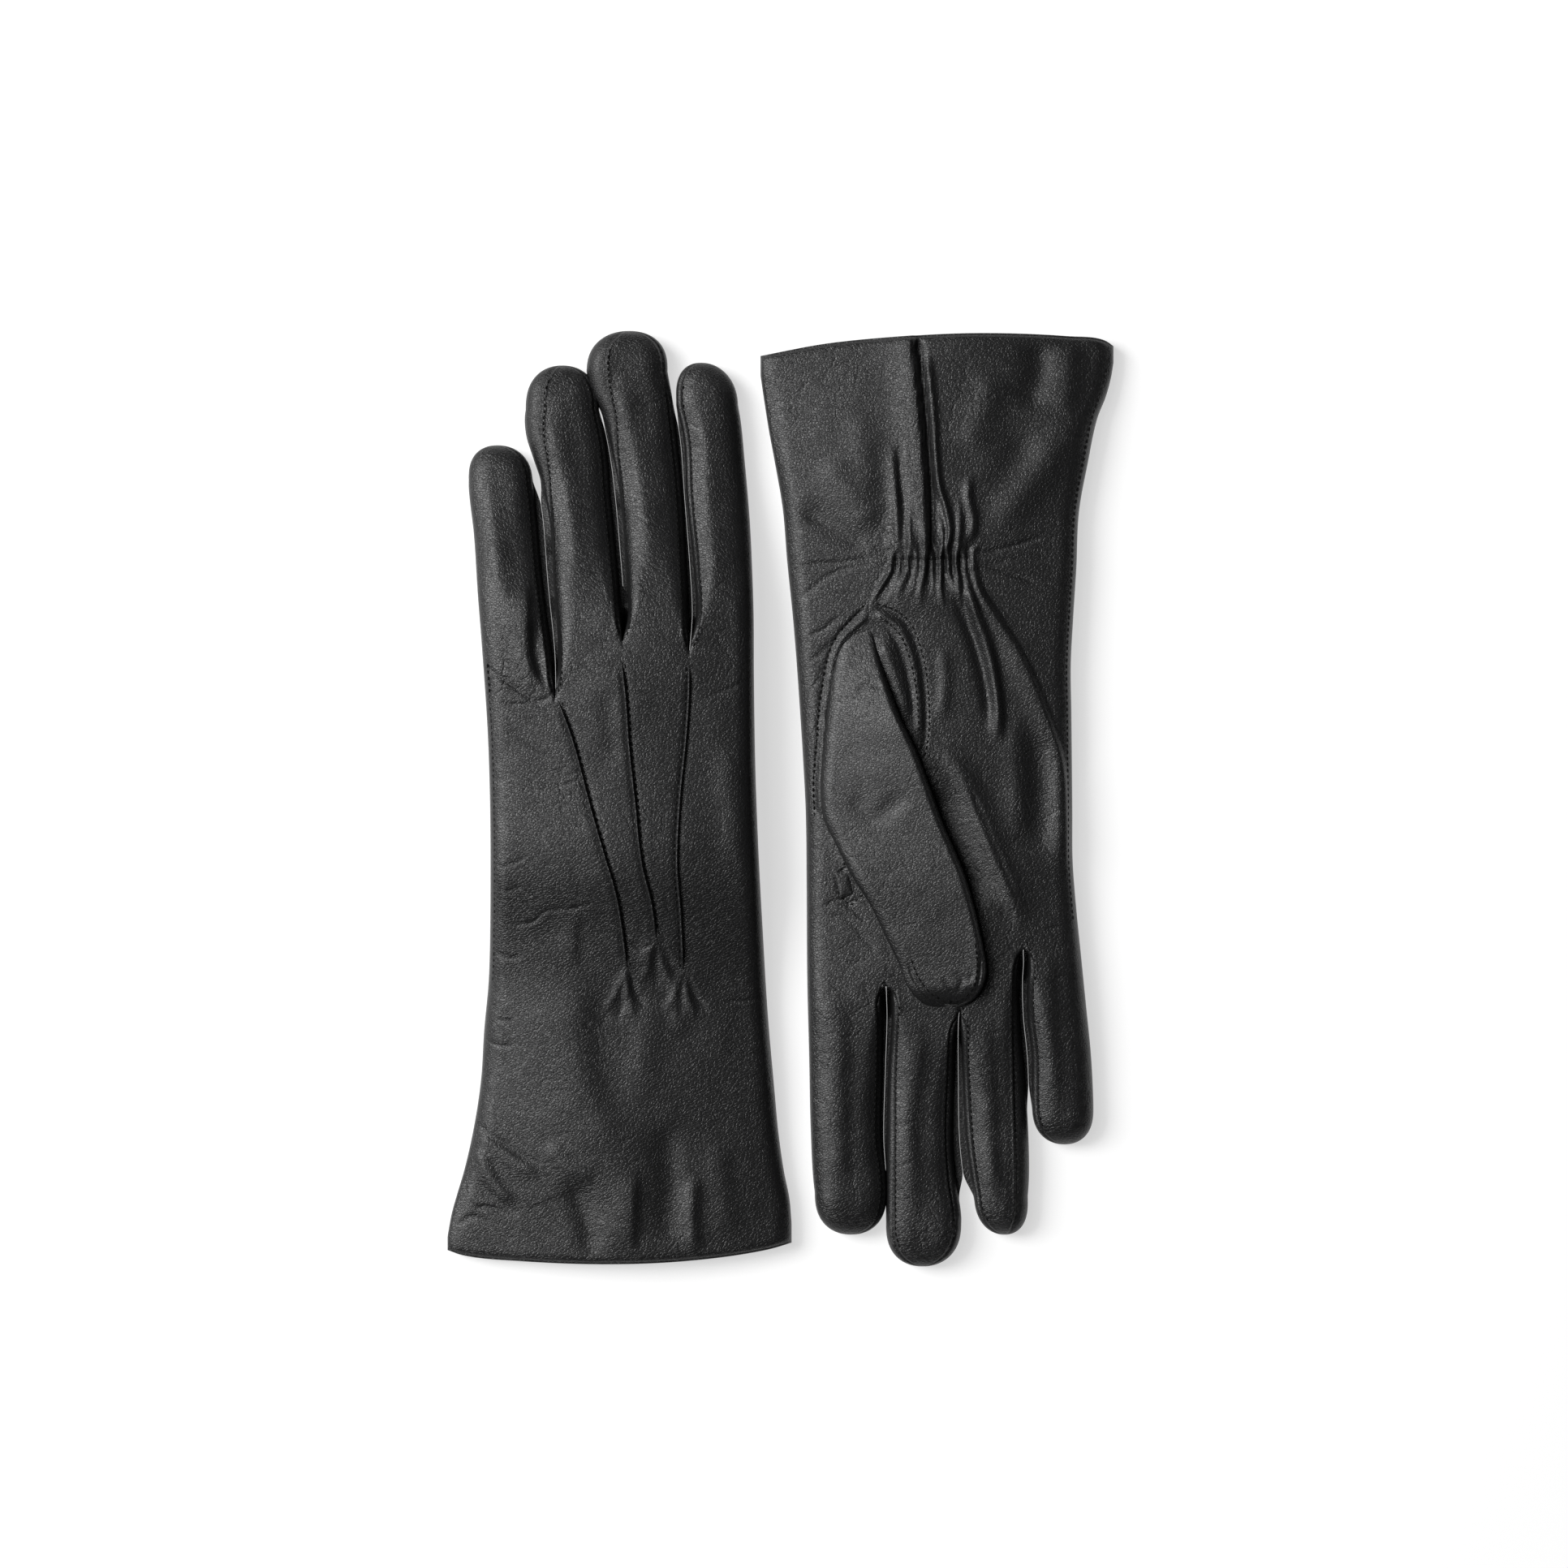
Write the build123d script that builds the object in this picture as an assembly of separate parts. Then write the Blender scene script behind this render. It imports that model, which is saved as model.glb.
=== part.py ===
from build123d import *
import math
import os

# A pair of long leather dress gloves lying flat beside each other on a table, in millimetres.
# +Z is up and +Y runs along the gloves. The left glove lies back up with its fingers towards +Y,
# over its own folded thumb. The right glove lies palm up with its fingers towards -Y, and its
# thumb is folded over the palm. Each glove is cut like a table-cut glove: a hand piece of palm and
# back, fourchettes between the fingers, a set-in thumb, a knitted lining, a turned hem, an elastic
# at the wrist and three stitched points on the back.

LEATHER = 0.8  # thickness of the skin
EASE = 0.7  # room between skin and lining in the hand
LINING = 1.0  # thickness of the knitted lining in the hand
FINGER_EASE = 0.3
HAND_HEIGHT = 11.0
CORNER = 4.6  # rounding of the hand's side edges
HEM_DEPTH = 14.0  # how far the turned hem reaches into the cuff
HEM_SKIN = 0.6
WALL_SIDE = 3.4  # how much of a finger's width belongs to each fourchette
HINGE_CLEAR = 0.4  # room around each finger's swing
POINT_WIDTH = 1.6
POINT_HEIGHT = 0.9
THREAD = 0.45
THUMB_HEIGHT = 9.0
THUMB_GAP = 0.3  # between the folded thumb and the palm
THUMB_EASE = 0.15
THUMB_LEAN = 1.4  # how much further the thumb leans over its base when it is open past a right angle
THUMB_LINING = 0.75
BASE_REACH = 8.0  # how far the thumb's base is drawn into the palm before the palm is taken out of it
PALM_LIFT = POINT_HEIGHT  # the right hand rests on its points
FAR = 400.0  # larger than any size here

# The left hand from hem to knuckles: y, x of the little finger's side, x of the index side, middle's z.
FLAT = HAND_HEIGHT / 2
RAISED = THUMB_HEIGHT + THUMB_GAP + HAND_HEIGHT / 2  # the hand's middle where it lies over the thumb
LEFT_HAND = [
    (-153.0, -109.9, 4.2, FLAT),
    (-126.0, -103.6, 0.8, FLAT),
    (-98.0, -98.6, -1.7, FLAT),
    (-70.0, -95.8, -3.8, FLAT),
    (-46.0, -94.6, -5.4, 8.6),
    (-24.0, -94.5, -6.6, RAISED),
    (8.0, -95.0, -8.0, RAISED),
    (40.0, -96.4, -8.3, RAISED),
    (62.0, -97.2, -8.6, RAISED),
    (80.0, -97.6, -8.9, 12.6),
]
RIGHT_HAND = [
    (153.0, -7.4, 110.2, FLAT + PALM_LIFT),
    (126.0, -3.0, 103.4, FLAT + PALM_LIFT),
    (98.0, 0.4, 98.2, FLAT + PALM_LIFT),
    (57.0, 4.2, 95.5, FLAT + PALM_LIFT),
    (20.0, 7.0, 95.2, FLAT + PALM_LIFT),
    (-8.0, 8.5, 95.3, FLAT + PALM_LIFT),
    (-40.0, 8.8, 97.0, FLAT + PALM_LIFT),
    (-62.0, 9.0, 98.8, FLAT + PALM_LIFT),
    (-80.0, 9.2, 99.8, FLAT + PALM_LIFT),
]
# The hem's curve: its two corners and its furthest point.
LEFT_HEM = [(-109.4, -147.4), (-56.0, -151.8), (4.0, -144.8)]
RIGHT_HEM = [(-6.6, 145.2), (60.0, 151.3), (109.4, 146.4)]

# Each finger from its hinge to just before its tip: y, x of its middle, width, height, middle's z.
# Then the rounded tip: y of the very end and x of its middle.
LEFT_FINGERS = {
    "index": ([(70.0, -18.8, 18.6, 11.0, 13.9), (84.0, -20.0, 19.4, 11.4, 10.0),
               (100.0, -21.2, 20.0, 12.0, 6.6), (132.0, -24.6, 20.0, 12.0, 6.0)], (142.2, -26.0)),
    "middle": ([(78.0, -41.9, 20.4, 11.0, 13.0), (92.0, -42.8, 20.8, 11.4, 9.4),
                (108.0, -44.4, 21.4, 12.0, 6.4), (142.0, -48.4, 22.4, 12.0, 6.0)], (152.8, -49.4)),
    "ring": ([(78.0, -64.9, 20.2, 11.0, 13.0), (92.0, -66.6, 21.0, 11.4, 9.4),
              (106.0, -68.8, 22.2, 12.0, 6.4), (131.0, -71.6, 23.0, 12.0, 6.0)], (141.4, -72.4)),
    "little": ([(57.4, -87.2, 20.6, 11.0, 14.2), (72.0, -88.6, 20.6, 11.2, 10.0),
                (86.0, -89.8, 20.4, 11.4, 6.4), (106.0, -91.4, 19.6, 11.4, 5.7)], (115.4, -92.0)),
}
RIGHT_FINGERS = {
    "index": ([(-70.0, 21.6, 23.8, 11.0, 6.4), (-84.0, 21.8, 24.0, 12.0, 6.0),
               (-110.0, 22.2, 24.0, 12.0, 6.0), (-132.0, 22.8, 22.6, 12.0, 6.0)], (-142.7, 23.3)),
    "middle": ([(-78.0, 46.2, 21.2, 11.0, 6.4), (-92.0, 45.8, 21.6, 12.0, 6.0),
                (-116.0, 45.4, 21.8, 12.0, 6.0), (-142.0, 46.2, 22.4, 12.0, 6.0)], (-152.8, 46.4)),
    "ring": ([(-78.0, 68.9, 18.6, 11.0, 6.4), (-92.0, 69.6, 19.4, 12.0, 6.0),
              (-112.0, 70.9, 20.2, 12.0, 6.0), (-131.0, 72.3, 19.2, 12.0, 6.0)], (-142.7, 72.9)),
    "little": ([(-57.4, 89.9, 18.4, 11.0, 6.4), (-72.0, 90.9, 18.8, 11.4, 5.8),
                (-88.0, 92.0, 19.2, 11.4, 5.7), (-104.0, 92.6, 19.2, 11.4, 5.7)], (-113.3, 92.8)),
}
# Where the hand ends between one finger and the next, in x.
LEFT_SLOTS = {
    "little": (-FAR, -76.3), "ring": (-76.3, -53.4), "middle": (-53.4, -30.6), "index": (-30.6, FAR),
}
RIGHT_SLOTS = {
    "index": (-FAR, 34.7), "middle": (34.7, 58.2), "ring": (58.2, 79.4), "little": (79.4, FAR),
}
OUTER_SIDE = {"index": 1, "middle": 0, "ring": 0, "little": -1}  # the side that is the glove's edge

# The thumb, in the right glove's plan. It lies along THUMB_WAY and swings on a crease across its base.
THUMB_MIDDLE = Vector(35.5, -4.4)
THUMB_WAY = Vector(0.365, -0.931)
THUMB_ACROSS = Vector(0.931, 0.365)
CREASE_POINT = Vector(48.5, 22.1)
CREASE_NORMAL = Vector(0.8998, -0.4363)  # points towards the thumb's tip
# Sections of the thumb: distance along it, middle across it, width, thickness.
THUMB_BASE_SECTIONS = [
    (-60.0, 15.5, 7.0, 1.6), (-40.0, 6.4, 27.0, 5.2), (-12.0, 0.0, 39.0, 8.6),
    (20.0, -2.0, 38.6, THUMB_HEIGHT),
]
THUMB_SECTIONS = [
    (-30.0, 2.0, 37.0, THUMB_HEIGHT), (-12.0, 0.0, 39.0, THUMB_HEIGHT), (20.0, -2.0, 38.6, THUMB_HEIGHT),
    (44.0, -2.2, 33.0, THUMB_HEIGHT), (58.0, -2.6, 26.6, 8.6), (65.0, -2.8, 18.0, 6.6),
    (68.8, -3.0, 7.0, 3.4),
]
THUMB_TIP_START = 60.0
# The thumb hole in the palm, right glove's plan.
THUMB_HOLE = [(27.0, 48.0), (17.0, 24.0), (17.0, 2.0), (23.0, -18.0), (40.0, 16.0), (37.0, 40.0)]
# The elastic and the small gusset at the thumb's crotch, right glove's plan.
ELASTIC_MIDDLE = (49.8, 77.8)
ELASTIC_SIZE = (29.0, 6.0, 0.55)
QUIRK_MIDDLE = (18.4, -30.5)
QUIRK_SIZE = (4.4, 7.6, 0.6)
# The three points on the back, left glove's plan.
POINTS = [
    [(-71.0, 27.4), (-66.6, 12.0), (-61.0, -5.0), (-55.6, -27.0), (-51.0, -54.7)],
    [(-51.8, 43.3), (-49.6, 28.0), (-48.4, 10.0), (-45.6, -17.6), (-41.9, -45.4)],
    [(-29.3, 40.7), (-29.6, 27.0), (-31.2, 13.0), (-33.6, -15.0), (-32.0, -55.2)],
]


def tube(sections, inset=0.0, corner=CORNER):
    """A closed lofted body through rounded rectangles at (y, x middle, width, height, z middle).

    Each side is moved in by inset.
    """
    faces = []
    for y, x, width, height, z in sections:
        w, h = max(width - 2 * inset, 0.8), max(height - 2 * inset, 0.6)
        r = min(corner - inset * 0.6, w / 2 - 0.05, h / 2 - 0.05)
        faces.append(Plane(origin=(x, y, z), x_dir=(1, 0, 0), z_dir=(0, 1, 0)) * RectangleRounded(w, h, r))
    return loft(faces, ruled=True)


def hand_body(stations, inset=0.0):
    """The hand and cuff as one flattened tube."""
    sections = [(y, (a + b) / 2, b - a, HAND_HEIGHT, z) for y, a, b, z in stations]
    return tube(sections, inset)


def finger_sections(finger):
    """The finger's sections with a rounded end added."""
    sections, (tip_y, tip_x) = finger
    y, x, width, height, z = sections[-1]
    run = tip_y - y
    rounding = [(0.45, 0.93, 0.97), (0.8, 0.68, 0.8), (1.0, 0.3, 0.36)]
    end = [(y + run * t, x + (tip_x - x) * t, width * w, height * h, z) for t, w, h in rounding]
    return sections + end


def shift_end(sections, inset):
    """The same sections with the last ones pulled back, so that an inner body keeps a wall at the tip."""
    way = math.copysign(1.0, sections[-1][0] - sections[0][0])
    return sections[:-3] + [(y - way * inset, x, w, h, z) for y, x, w, h, z in sections[-3:]]


def open_base(sections, length=6.0):
    """The same sections with one more before the first, so that an inner body cuts the base open."""
    way = math.copysign(1.0, sections[-1][0] - sections[0][0])
    y, x, w, h, z = sections[0]
    return [(y - way * length, x, w, h, z)] + sections


def above(sections):
    """Everything above the middle of a body given by its sections."""
    heights = [(s[0], s[4]) for s in sections]
    first, last = heights[0], heights[-1]
    way = math.copysign(30.0, last[0] - first[0])
    line = [(first[0] - way, first[1])] + heights + [(last[0] + way, last[1])]
    wire = Polyline(*line, (line[-1][0], FAR), (line[0][0], FAR), line[0])
    face = make_face(Plane(origin=(-FAR, 0, 0), x_dir=(0, 1, 0), z_dir=(1, 0, 0)) * wire)
    return extrude(face, 2 * FAR, dir=(1, 0, 0))


def prism(points, low=-50.0, high=80.0):
    """A plan outline pulled up into a block."""
    return Pos(0, 0, low) * extrude(make_face(Polyline(*points, points[0])), high - low)


def beyond_hem(hem, inside=0.0):
    """Everything past the hem's curve, moved inside by so much."""
    way = math.copysign(1.0, hem[1][1])
    a, b, c = [(x, y - way * inside) for x, y in hem]
    arc = ThreePointArc(a, b, c)
    sides = Polyline(c, (FAR, c[1]), (FAR, way * FAR), (-FAR, way * FAR), (-FAR, a[1]), a)
    return Pos(0, 0, -50) * extrude(make_face(arc + sides), 130)


def swing_room(finger, slot, palm_sign):
    """What the hand leaves free for a finger: its place, a round clearance about its hinge, and the
    same clearance squared off on the palm's side, where the finger folds in."""
    (y, _, _, height, z) = finger[0][0]
    way = math.copysign(1.0, y)
    low, high = slot
    middle, width = (low + high) / 2, high - low
    reach = height / 2 + HINGE_CLEAR
    box = Pos(middle, y + way * 40, z) * Box(width, 80, 60)
    barrel = Pos(middle, y, z) * Rot(0, 90, 0) * Cylinder(reach, width)
    relief = Pos(middle, y - way * reach / 2, z + palm_sign * 15) * Box(width, reach, 30)
    return box + barrel + relief


def make_finger(finger, outer):
    """One finger's strips, outer wall, fourchettes and lining, and the room above its middle.

    outer is the side, in x, that is the glove's own edge, or 0.
    """
    sections = finger_sections(finger)
    skin = tube(sections) - tube(open_base(shift_end(sections, LEATHER)), LEATHER)
    inset = LEATHER + FINGER_EASE
    lining_out = tube(shift_end(sections, inset), inset)
    lining_in = tube(open_base(shift_end(sections, inset + LINING)), inset + LINING)
    core = [(y, x, max(w - 2 * WALL_SIDE, 1.0), 60.0, z) for y, x, w, _, z in sections]
    core = open_base(core) + [(core[-1][0] + math.copysign(9.0, core[-1][0]), *core[-1][1:])]
    centre = loft([Plane(origin=(x, y, z), x_dir=(1, 0, 0), z_dir=(0, 1, 0)) * Rectangle(w, h)
                   for y, x, w, h, z in core], ruled=True)
    walls = skin - centre
    mean_x = sum(s[1] for s in sections) / len(sections)
    outer_wall = [s for s in walls.solids() if outer and (s.center().X - mean_x) * outer > 0]
    forks = [s for s in walls.solids() if not outer or (s.center().X - mean_x) * outer <= 0]
    strips = (skin & centre).solids()
    return strips, outer_wall, forks, lining_out - lining_in, above(sections)


def strip_solids(strips, outer_wall, upper, folded):
    """The finger's part of the hand piece: a back and a palm strip, or one skin where it is folded."""
    whole = list(strips) + list(outer_wall)
    if folded:
        return fuse_all(whole)
    top = [part for s in whole for part in (s & upper).solids()]
    bottom = [part for s in whole for part in (s - upper).solids()]
    return fuse_all(top) + fuse_all(bottom)


def fuse_all(solids):
    """The solids joined wherever they touch."""
    if not solids:
        return []
    body = solids[0]
    for s in solids[1:]:
        body = body + s
    return list(body.solids())


def place_thumb(sections, floor, inset, left, back_open=False):
    """Thumb sections standing on the height floor, lofted. Each side is moved in by inset."""
    faces = []
    rows = list(sections)
    if back_open:
        s, c, w, t = rows[0]
        rows = [(s - 8.0, c, w, t)] + rows
    for s, c, w, t in rows:
        p = THUMB_MIDDLE + THUMB_WAY * s + THUMB_ACROSS * c
        x, y = (0.5 - p.X, -p.Y) if left else (p.X, p.Y)
        turn = -1 if left else 1
        across = (THUMB_ACROSS.X * turn, THUMB_ACROSS.Y * turn, 0)
        way = (THUMB_WAY.X * turn, THUMB_WAY.Y * turn, 0)
        plane = Plane(origin=(x, y, floor + t / 2), x_dir=across, z_dir=way)
        width, height = max(w - 2 * inset, 0.8), max(t - 2 * inset, 0.6)
        corner = min(CORNER - 0.6, width / 2 - 0.05, height / 2 - 0.05)
        faces.append(plane * RectangleRounded(width, height, corner))
    return loft(faces, ruled=True)


def flip(points):
    """Points of the right glove's plan in the left glove's, or the other way round."""
    return [(0.5 - x, -y) for x, y in points]


def drawn_back(amount):
    """The thumb's sections with those of its tip pulled back."""
    return [(s - (amount if s > THUMB_TIP_START else 0), c, w, t) for s, c, w, t in THUMB_SECTIONS]


def in_plan(points, left):
    """Points of the right glove's plan in the plan of the glove that is being made."""
    return flip(points) if left else points


def crease_side(left, sign):
    """Everything on one side of the upright plane through the thumb's crease: sign 1 is the tip's side."""
    block = Pos(FAR / 2 * sign, 0, 0) * Box(FAR, FAR, 100)
    angle = math.degrees(math.atan2(CREASE_NORMAL.Y, CREASE_NORMAL.X))
    block = Pos(CREASE_POINT.X, CREASE_POINT.Y, 10) * Rot(0, 0, angle) * block
    return Pos(0.5, 0, 0) * Rot(0, 0, 180) * block if left else block


def crease_room(left, z, radius, palm_sign):
    """A round clearance about the thumb's crease, squared off on the side that the thumb opens to."""
    angle = math.degrees(math.atan2(CREASE_NORMAL.Y, CREASE_NORMAL.X))
    reach = radius + THUMB_LEAN
    rod = Rot(90, 0, 0) * Cylinder(radius, 200)
    relief = Pos(-reach / 2, 0, palm_sign * 15) * Box(reach, 200, 30)
    room = Pos(CREASE_POINT.X, CREASE_POINT.Y, z) * Rot(0, 0, angle) * (rod + relief)
    return Pos(0.5, 0, 0) * Rot(0, 0, 180) * room if left else room


def ribbon(points, width):
    """A band of even width along a line in plan, as a tall block."""
    band = None
    for a, b in zip(points, points[1:]):
        run = math.dist(a, b)
        angle = math.degrees(math.atan2(b[1] - a[1], b[0] - a[0]))
        piece = Pos((a[0] + b[0]) / 2, (a[1] + b[1]) / 2, 15) * Rot(0, 0, angle) * Box(run, width, 100)
        joint = Pos(b[0], b[1], 15) * Cylinder(width / 2, 100)
        band = piece + joint if band is None else band + piece + joint
    return band


def save(side, name, solids):
    """Writes one node's solids to parts/."""
    solids = list(solids)
    shape = solids[0] if len(solids) == 1 else Compound(children=solids)
    export_step(shape, f"parts/{side}_{name}.step")


def make_glove(side):
    """All the nodes of one glove."""
    left = side == "left"
    stations, hem = (LEFT_HAND, LEFT_HEM) if left else (RIGHT_HAND, RIGHT_HEM)
    fingers, slots = (LEFT_FINGERS, LEFT_SLOTS) if left else (RIGHT_FINGERS, RIGHT_SLOTS)
    palm_sign = -1 if left else 1  # which way the palm faces
    first, last = stations[0], stations[-1]
    long = [(first[0] * 1.05, *first[1:])] + stations + [(last[0] * 1.08, *last[1:])]
    outer = hand_body(stations)
    upper = above([(y, 0, 0, 0, z) for y, _, _, z in stations])
    cut = beyond_hem(hem)
    for name in fingers:
        cut = cut + swing_room(fingers[name], slots[name], palm_sign)
    hole = prism(in_plan(THUMB_HOLE, left))
    mid_z = RAISED if left else FLAT + PALM_LIFT
    hole = hole & (Pos(0, 0, mid_z + palm_sign * 50) * Box(2 * FAR, 2 * FAR, 100))

    # The hand piece, cut at the side fold into its back and its palm.
    skin = outer - hand_body(long, LEATHER) - cut
    back = skin - upper if not left else skin & upper
    palm = (skin & upper if not left else skin - upper) - hole
    save(side, "back_panel", back.solids())
    save(side, "palm_panel", palm.solids())

    # The knitted lining of the hand, and the turned hem that covers its end.
    inset = LEATHER + EASE
    lining = hand_body(long, inset) - hand_body(long, inset + LINING)
    lining = lining - cut - hole - beyond_hem(hem, HEM_DEPTH)
    save(side, "hand_lining", lining.solids())
    hem_band = hand_body(long, LEATHER) - hand_body(long, LEATHER + HEM_SKIN) - beyond_hem(hem)
    save(side, "cuff_hem", (hem_band & beyond_hem(hem, HEM_DEPTH - 0.5)).solids())

    # The elastic tape between the palm's skin and its lining.
    [(x, y)] = in_plan([ELASTIC_MIDDLE], left)
    z_skin = (FLAT if left else FLAT + PALM_LIFT) + palm_sign * (HAND_HEIGHT / 2 - LEATHER - EASE / 2)
    tape = Pos(x, y, z_skin) * Box(*ELASTIC_SIZE)
    save(side, "wrist_elastic", tape.solids())

    # The three points on the back, and their threads.
    lines = POINTS if left else [flip(p) for p in POINTS]
    layer = Pos(0, 0, -palm_sign * POINT_HEIGHT) * outer - outer - cut
    thread_layer = Pos(0, 0, -palm_sign * THREAD) * outer - outer - cut
    ribs, threads = [], []
    for line in lines:
        rib = ribbon(line, POINT_WIDTH)
        beside = [(px + (POINT_WIDTH + THREAD) / 2 + 0.05, py) for px, py in line]
        ribs += list((layer & rib).solids())
        threads += list(((thread_layer & ribbon(beside, THREAD)) - rib).solids())
    save(side, "back_points", ribs)
    save(side, "point_threads", threads)

    # The fingers.
    for name, finger in fingers.items():
        outward = OUTER_SIDE[name] * (1 if left else -1)
        strips, outer_wall, forks, tube_lining, top = make_finger(finger, outward)
        save(side, name + "_shell", strip_solids(strips, outer_wall, top, name == "index"))
        save(side, name + ("_fourchettes" if len(forks) > 1 else "_fourchette"), forks)
        save(side, name + "_lining", tube_lining.solids())

    # The thumb: its base is sewn round the thumb hole, and the rest swings on the crease.
    floor = 0.0 if left else HAND_HEIGHT + PALM_LIFT + THUMB_GAP
    tip_side = crease_side(left, 1)
    thumb_out = place_thumb(THUMB_SECTIONS, floor, 0, left)
    thumb_in = place_thumb(drawn_back(LEATHER), floor, LEATHER, left, True)
    save(side, "thumb_shell", ((thumb_out - thumb_in) & tip_side).solids())
    room = LEATHER + THUMB_EASE
    lining_out = place_thumb(drawn_back(room), floor, room, left)
    lining_in = place_thumb(drawn_back(room + THUMB_LINING), floor, room + THUMB_LINING, left, True)
    save(side, "thumb_lining", ((lining_out - lining_in) & tip_side).solids())

    # The base reaches into the palm, which is then taken out of it.
    base_floor = floor if left else floor - BASE_REACH
    rows = [(s, c, w, t + BASE_REACH) for s, c, w, t in THUMB_BASE_SECTIONS]
    base_out = place_thumb(rows, base_floor, 0, left)
    rows[0] = (rows[0][0] + LEATHER, *rows[0][1:])
    base_in = place_thumb(rows, base_floor, LEATHER, left)
    base = (base_out - base_in) & crease_side(left, -1)
    room = crease_room(left, floor + THUMB_HEIGHT / 2, THUMB_HEIGHT / 2 + HINGE_CLEAR, palm_sign)
    base = base - outer - room
    solids = sorted(base.solids(), key=lambda s: -s.volume)
    save(side, "thumb_base", solids[:1])

    # The small gusset at the thumb's crotch.
    [(x, y)] = in_plan([QUIRK_MIDDLE], left)
    angle = math.degrees(math.atan2(CREASE_NORMAL.Y, CREASE_NORMAL.X))
    z_face = RAISED - HAND_HEIGHT / 2 if left else HAND_HEIGHT + PALM_LIFT
    quirk = Pos(x, y, z_face + palm_sign * QUIRK_SIZE[2] / 2) * Rot(0, 0, angle) * Box(*QUIRK_SIZE)
    save(side, "thumb_quirk", quirk.solids())


os.makedirs("parts", exist_ok=True)
for glove_side in ("left", "right"):
    make_glove(glove_side)
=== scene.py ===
import bpy
import numpy as np
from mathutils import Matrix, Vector


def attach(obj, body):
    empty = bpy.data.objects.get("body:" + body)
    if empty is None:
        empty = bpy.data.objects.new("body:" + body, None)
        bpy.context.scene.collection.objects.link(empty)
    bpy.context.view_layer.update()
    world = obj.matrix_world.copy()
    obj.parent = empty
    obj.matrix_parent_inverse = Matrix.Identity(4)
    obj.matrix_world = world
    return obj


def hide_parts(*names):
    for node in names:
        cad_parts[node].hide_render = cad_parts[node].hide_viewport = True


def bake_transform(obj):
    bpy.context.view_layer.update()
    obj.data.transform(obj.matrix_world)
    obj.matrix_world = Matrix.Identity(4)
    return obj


# A pair of black nappa dress gloves: the left one back up, the right one palm up.
# Lengths in this file are millimetres until skin() puts a mesh into the scene in metres.

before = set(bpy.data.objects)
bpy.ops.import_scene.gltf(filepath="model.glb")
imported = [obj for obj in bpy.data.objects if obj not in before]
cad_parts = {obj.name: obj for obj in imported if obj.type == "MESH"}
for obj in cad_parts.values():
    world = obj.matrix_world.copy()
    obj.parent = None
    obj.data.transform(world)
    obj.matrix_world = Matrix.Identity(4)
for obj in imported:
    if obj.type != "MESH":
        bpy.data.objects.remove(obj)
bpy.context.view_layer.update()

STEP = 0.62  # spacing of the leather's grid
STEP_ALONG = 0.6  # spacing along a raised rib
GATHER = 2.62  # pitch of the gathers at the wrist
HEM_ROW = -152.0  # where the strips start, before their first rows are bent onto the hem
NO_CROTCH = 1e9  # stands for the crotch of a side that is the hand's own edge
ROWS = np.arange(HEM_ROW, 160.0, STEP)


# ---------------------------------------------------------------- shapes of one variable

def through(points):
    """Smooth curve through (place, value) pairs: cubic pieces, each knot's slope the mean of its two
    chords."""
    knots = np.array(sorted(points), float)
    at, value = knots[:, 0], knots[:, 1]
    chord = np.diff(value) / np.diff(at)
    slope = np.concatenate([chord[:1], (chord[1:] + chord[:-1]) / 2, chord[-1:]])

    def curve(s):
        s = np.asarray(s, float)
        i = np.clip(np.searchsorted(at, s) - 1, 0, len(at) - 2)
        h = at[i + 1] - at[i]
        t = np.clip((s - at[i]) / h, 0, 1)
        return ((2 * t**3 - 3 * t**2 + 1) * value[i] + (t**3 - 2 * t**2 + t) * h * slope[i]
                + (3 * t**2 - 2 * t**3) * value[i + 1] + (t**3 - t**2) * h * slope[i + 1])
    return curve


def ease(a, b, s):
    """0 at a, 1 at b, and 3t^2 - 2t^3 between."""
    t = np.clip((np.asarray(s, float) - a) / (b - a), 0, 1)
    return t * t * (3 - 2 * t)


def rounding(d, power=2.3):
    """How far a rounded edge has dropped at d radii from it: 1 at the edge, 0 from one radius on, a
    superellipse between."""
    t = 1 - np.clip(d, 0, 1)
    return 1 - (1 - t**power) ** (1 / power)


def soft_noise(x, y, size, seed):
    """Smooth random height: random values on a square lattice of that size, blended with 3t^2 - 2t^3."""
    lattice = np.random.default_rng(seed).uniform(-1, 1, (64, 64))
    u, v = x / size + 1000.3, y / size + 1000.7
    i, j = np.floor(u).astype(int), np.floor(v).astype(int)
    s, t = u - i, v - j
    s, t = s * s * (3 - 2 * s), t * t * (3 - 2 * t)
    i, j = i % 64, j % 64
    k, m = (i + 1) % 64, (j + 1) % 64
    near = lattice[i, j] * (1 - s) + lattice[k, j] * s
    far = lattice[i, m] * (1 - s) + lattice[k, m] * s
    return near * (1 - t) + far * t


def run_of(line):
    """The distance along a line at each of its points."""
    return np.concatenate([[0], np.cumsum(np.hypot(*np.diff(line, axis=0).T))])


def smooth_line(points, count=40):
    """The points joined by through() over their chord length, resampled evenly."""
    p = np.array(points, float)
    run = run_of(p)
    s = np.linspace(0, run[-1], count)
    return np.stack([through(list(zip(run, p[:, 0])))(s), through(list(zip(run, p[:, 1])))(s)], 1)


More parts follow.
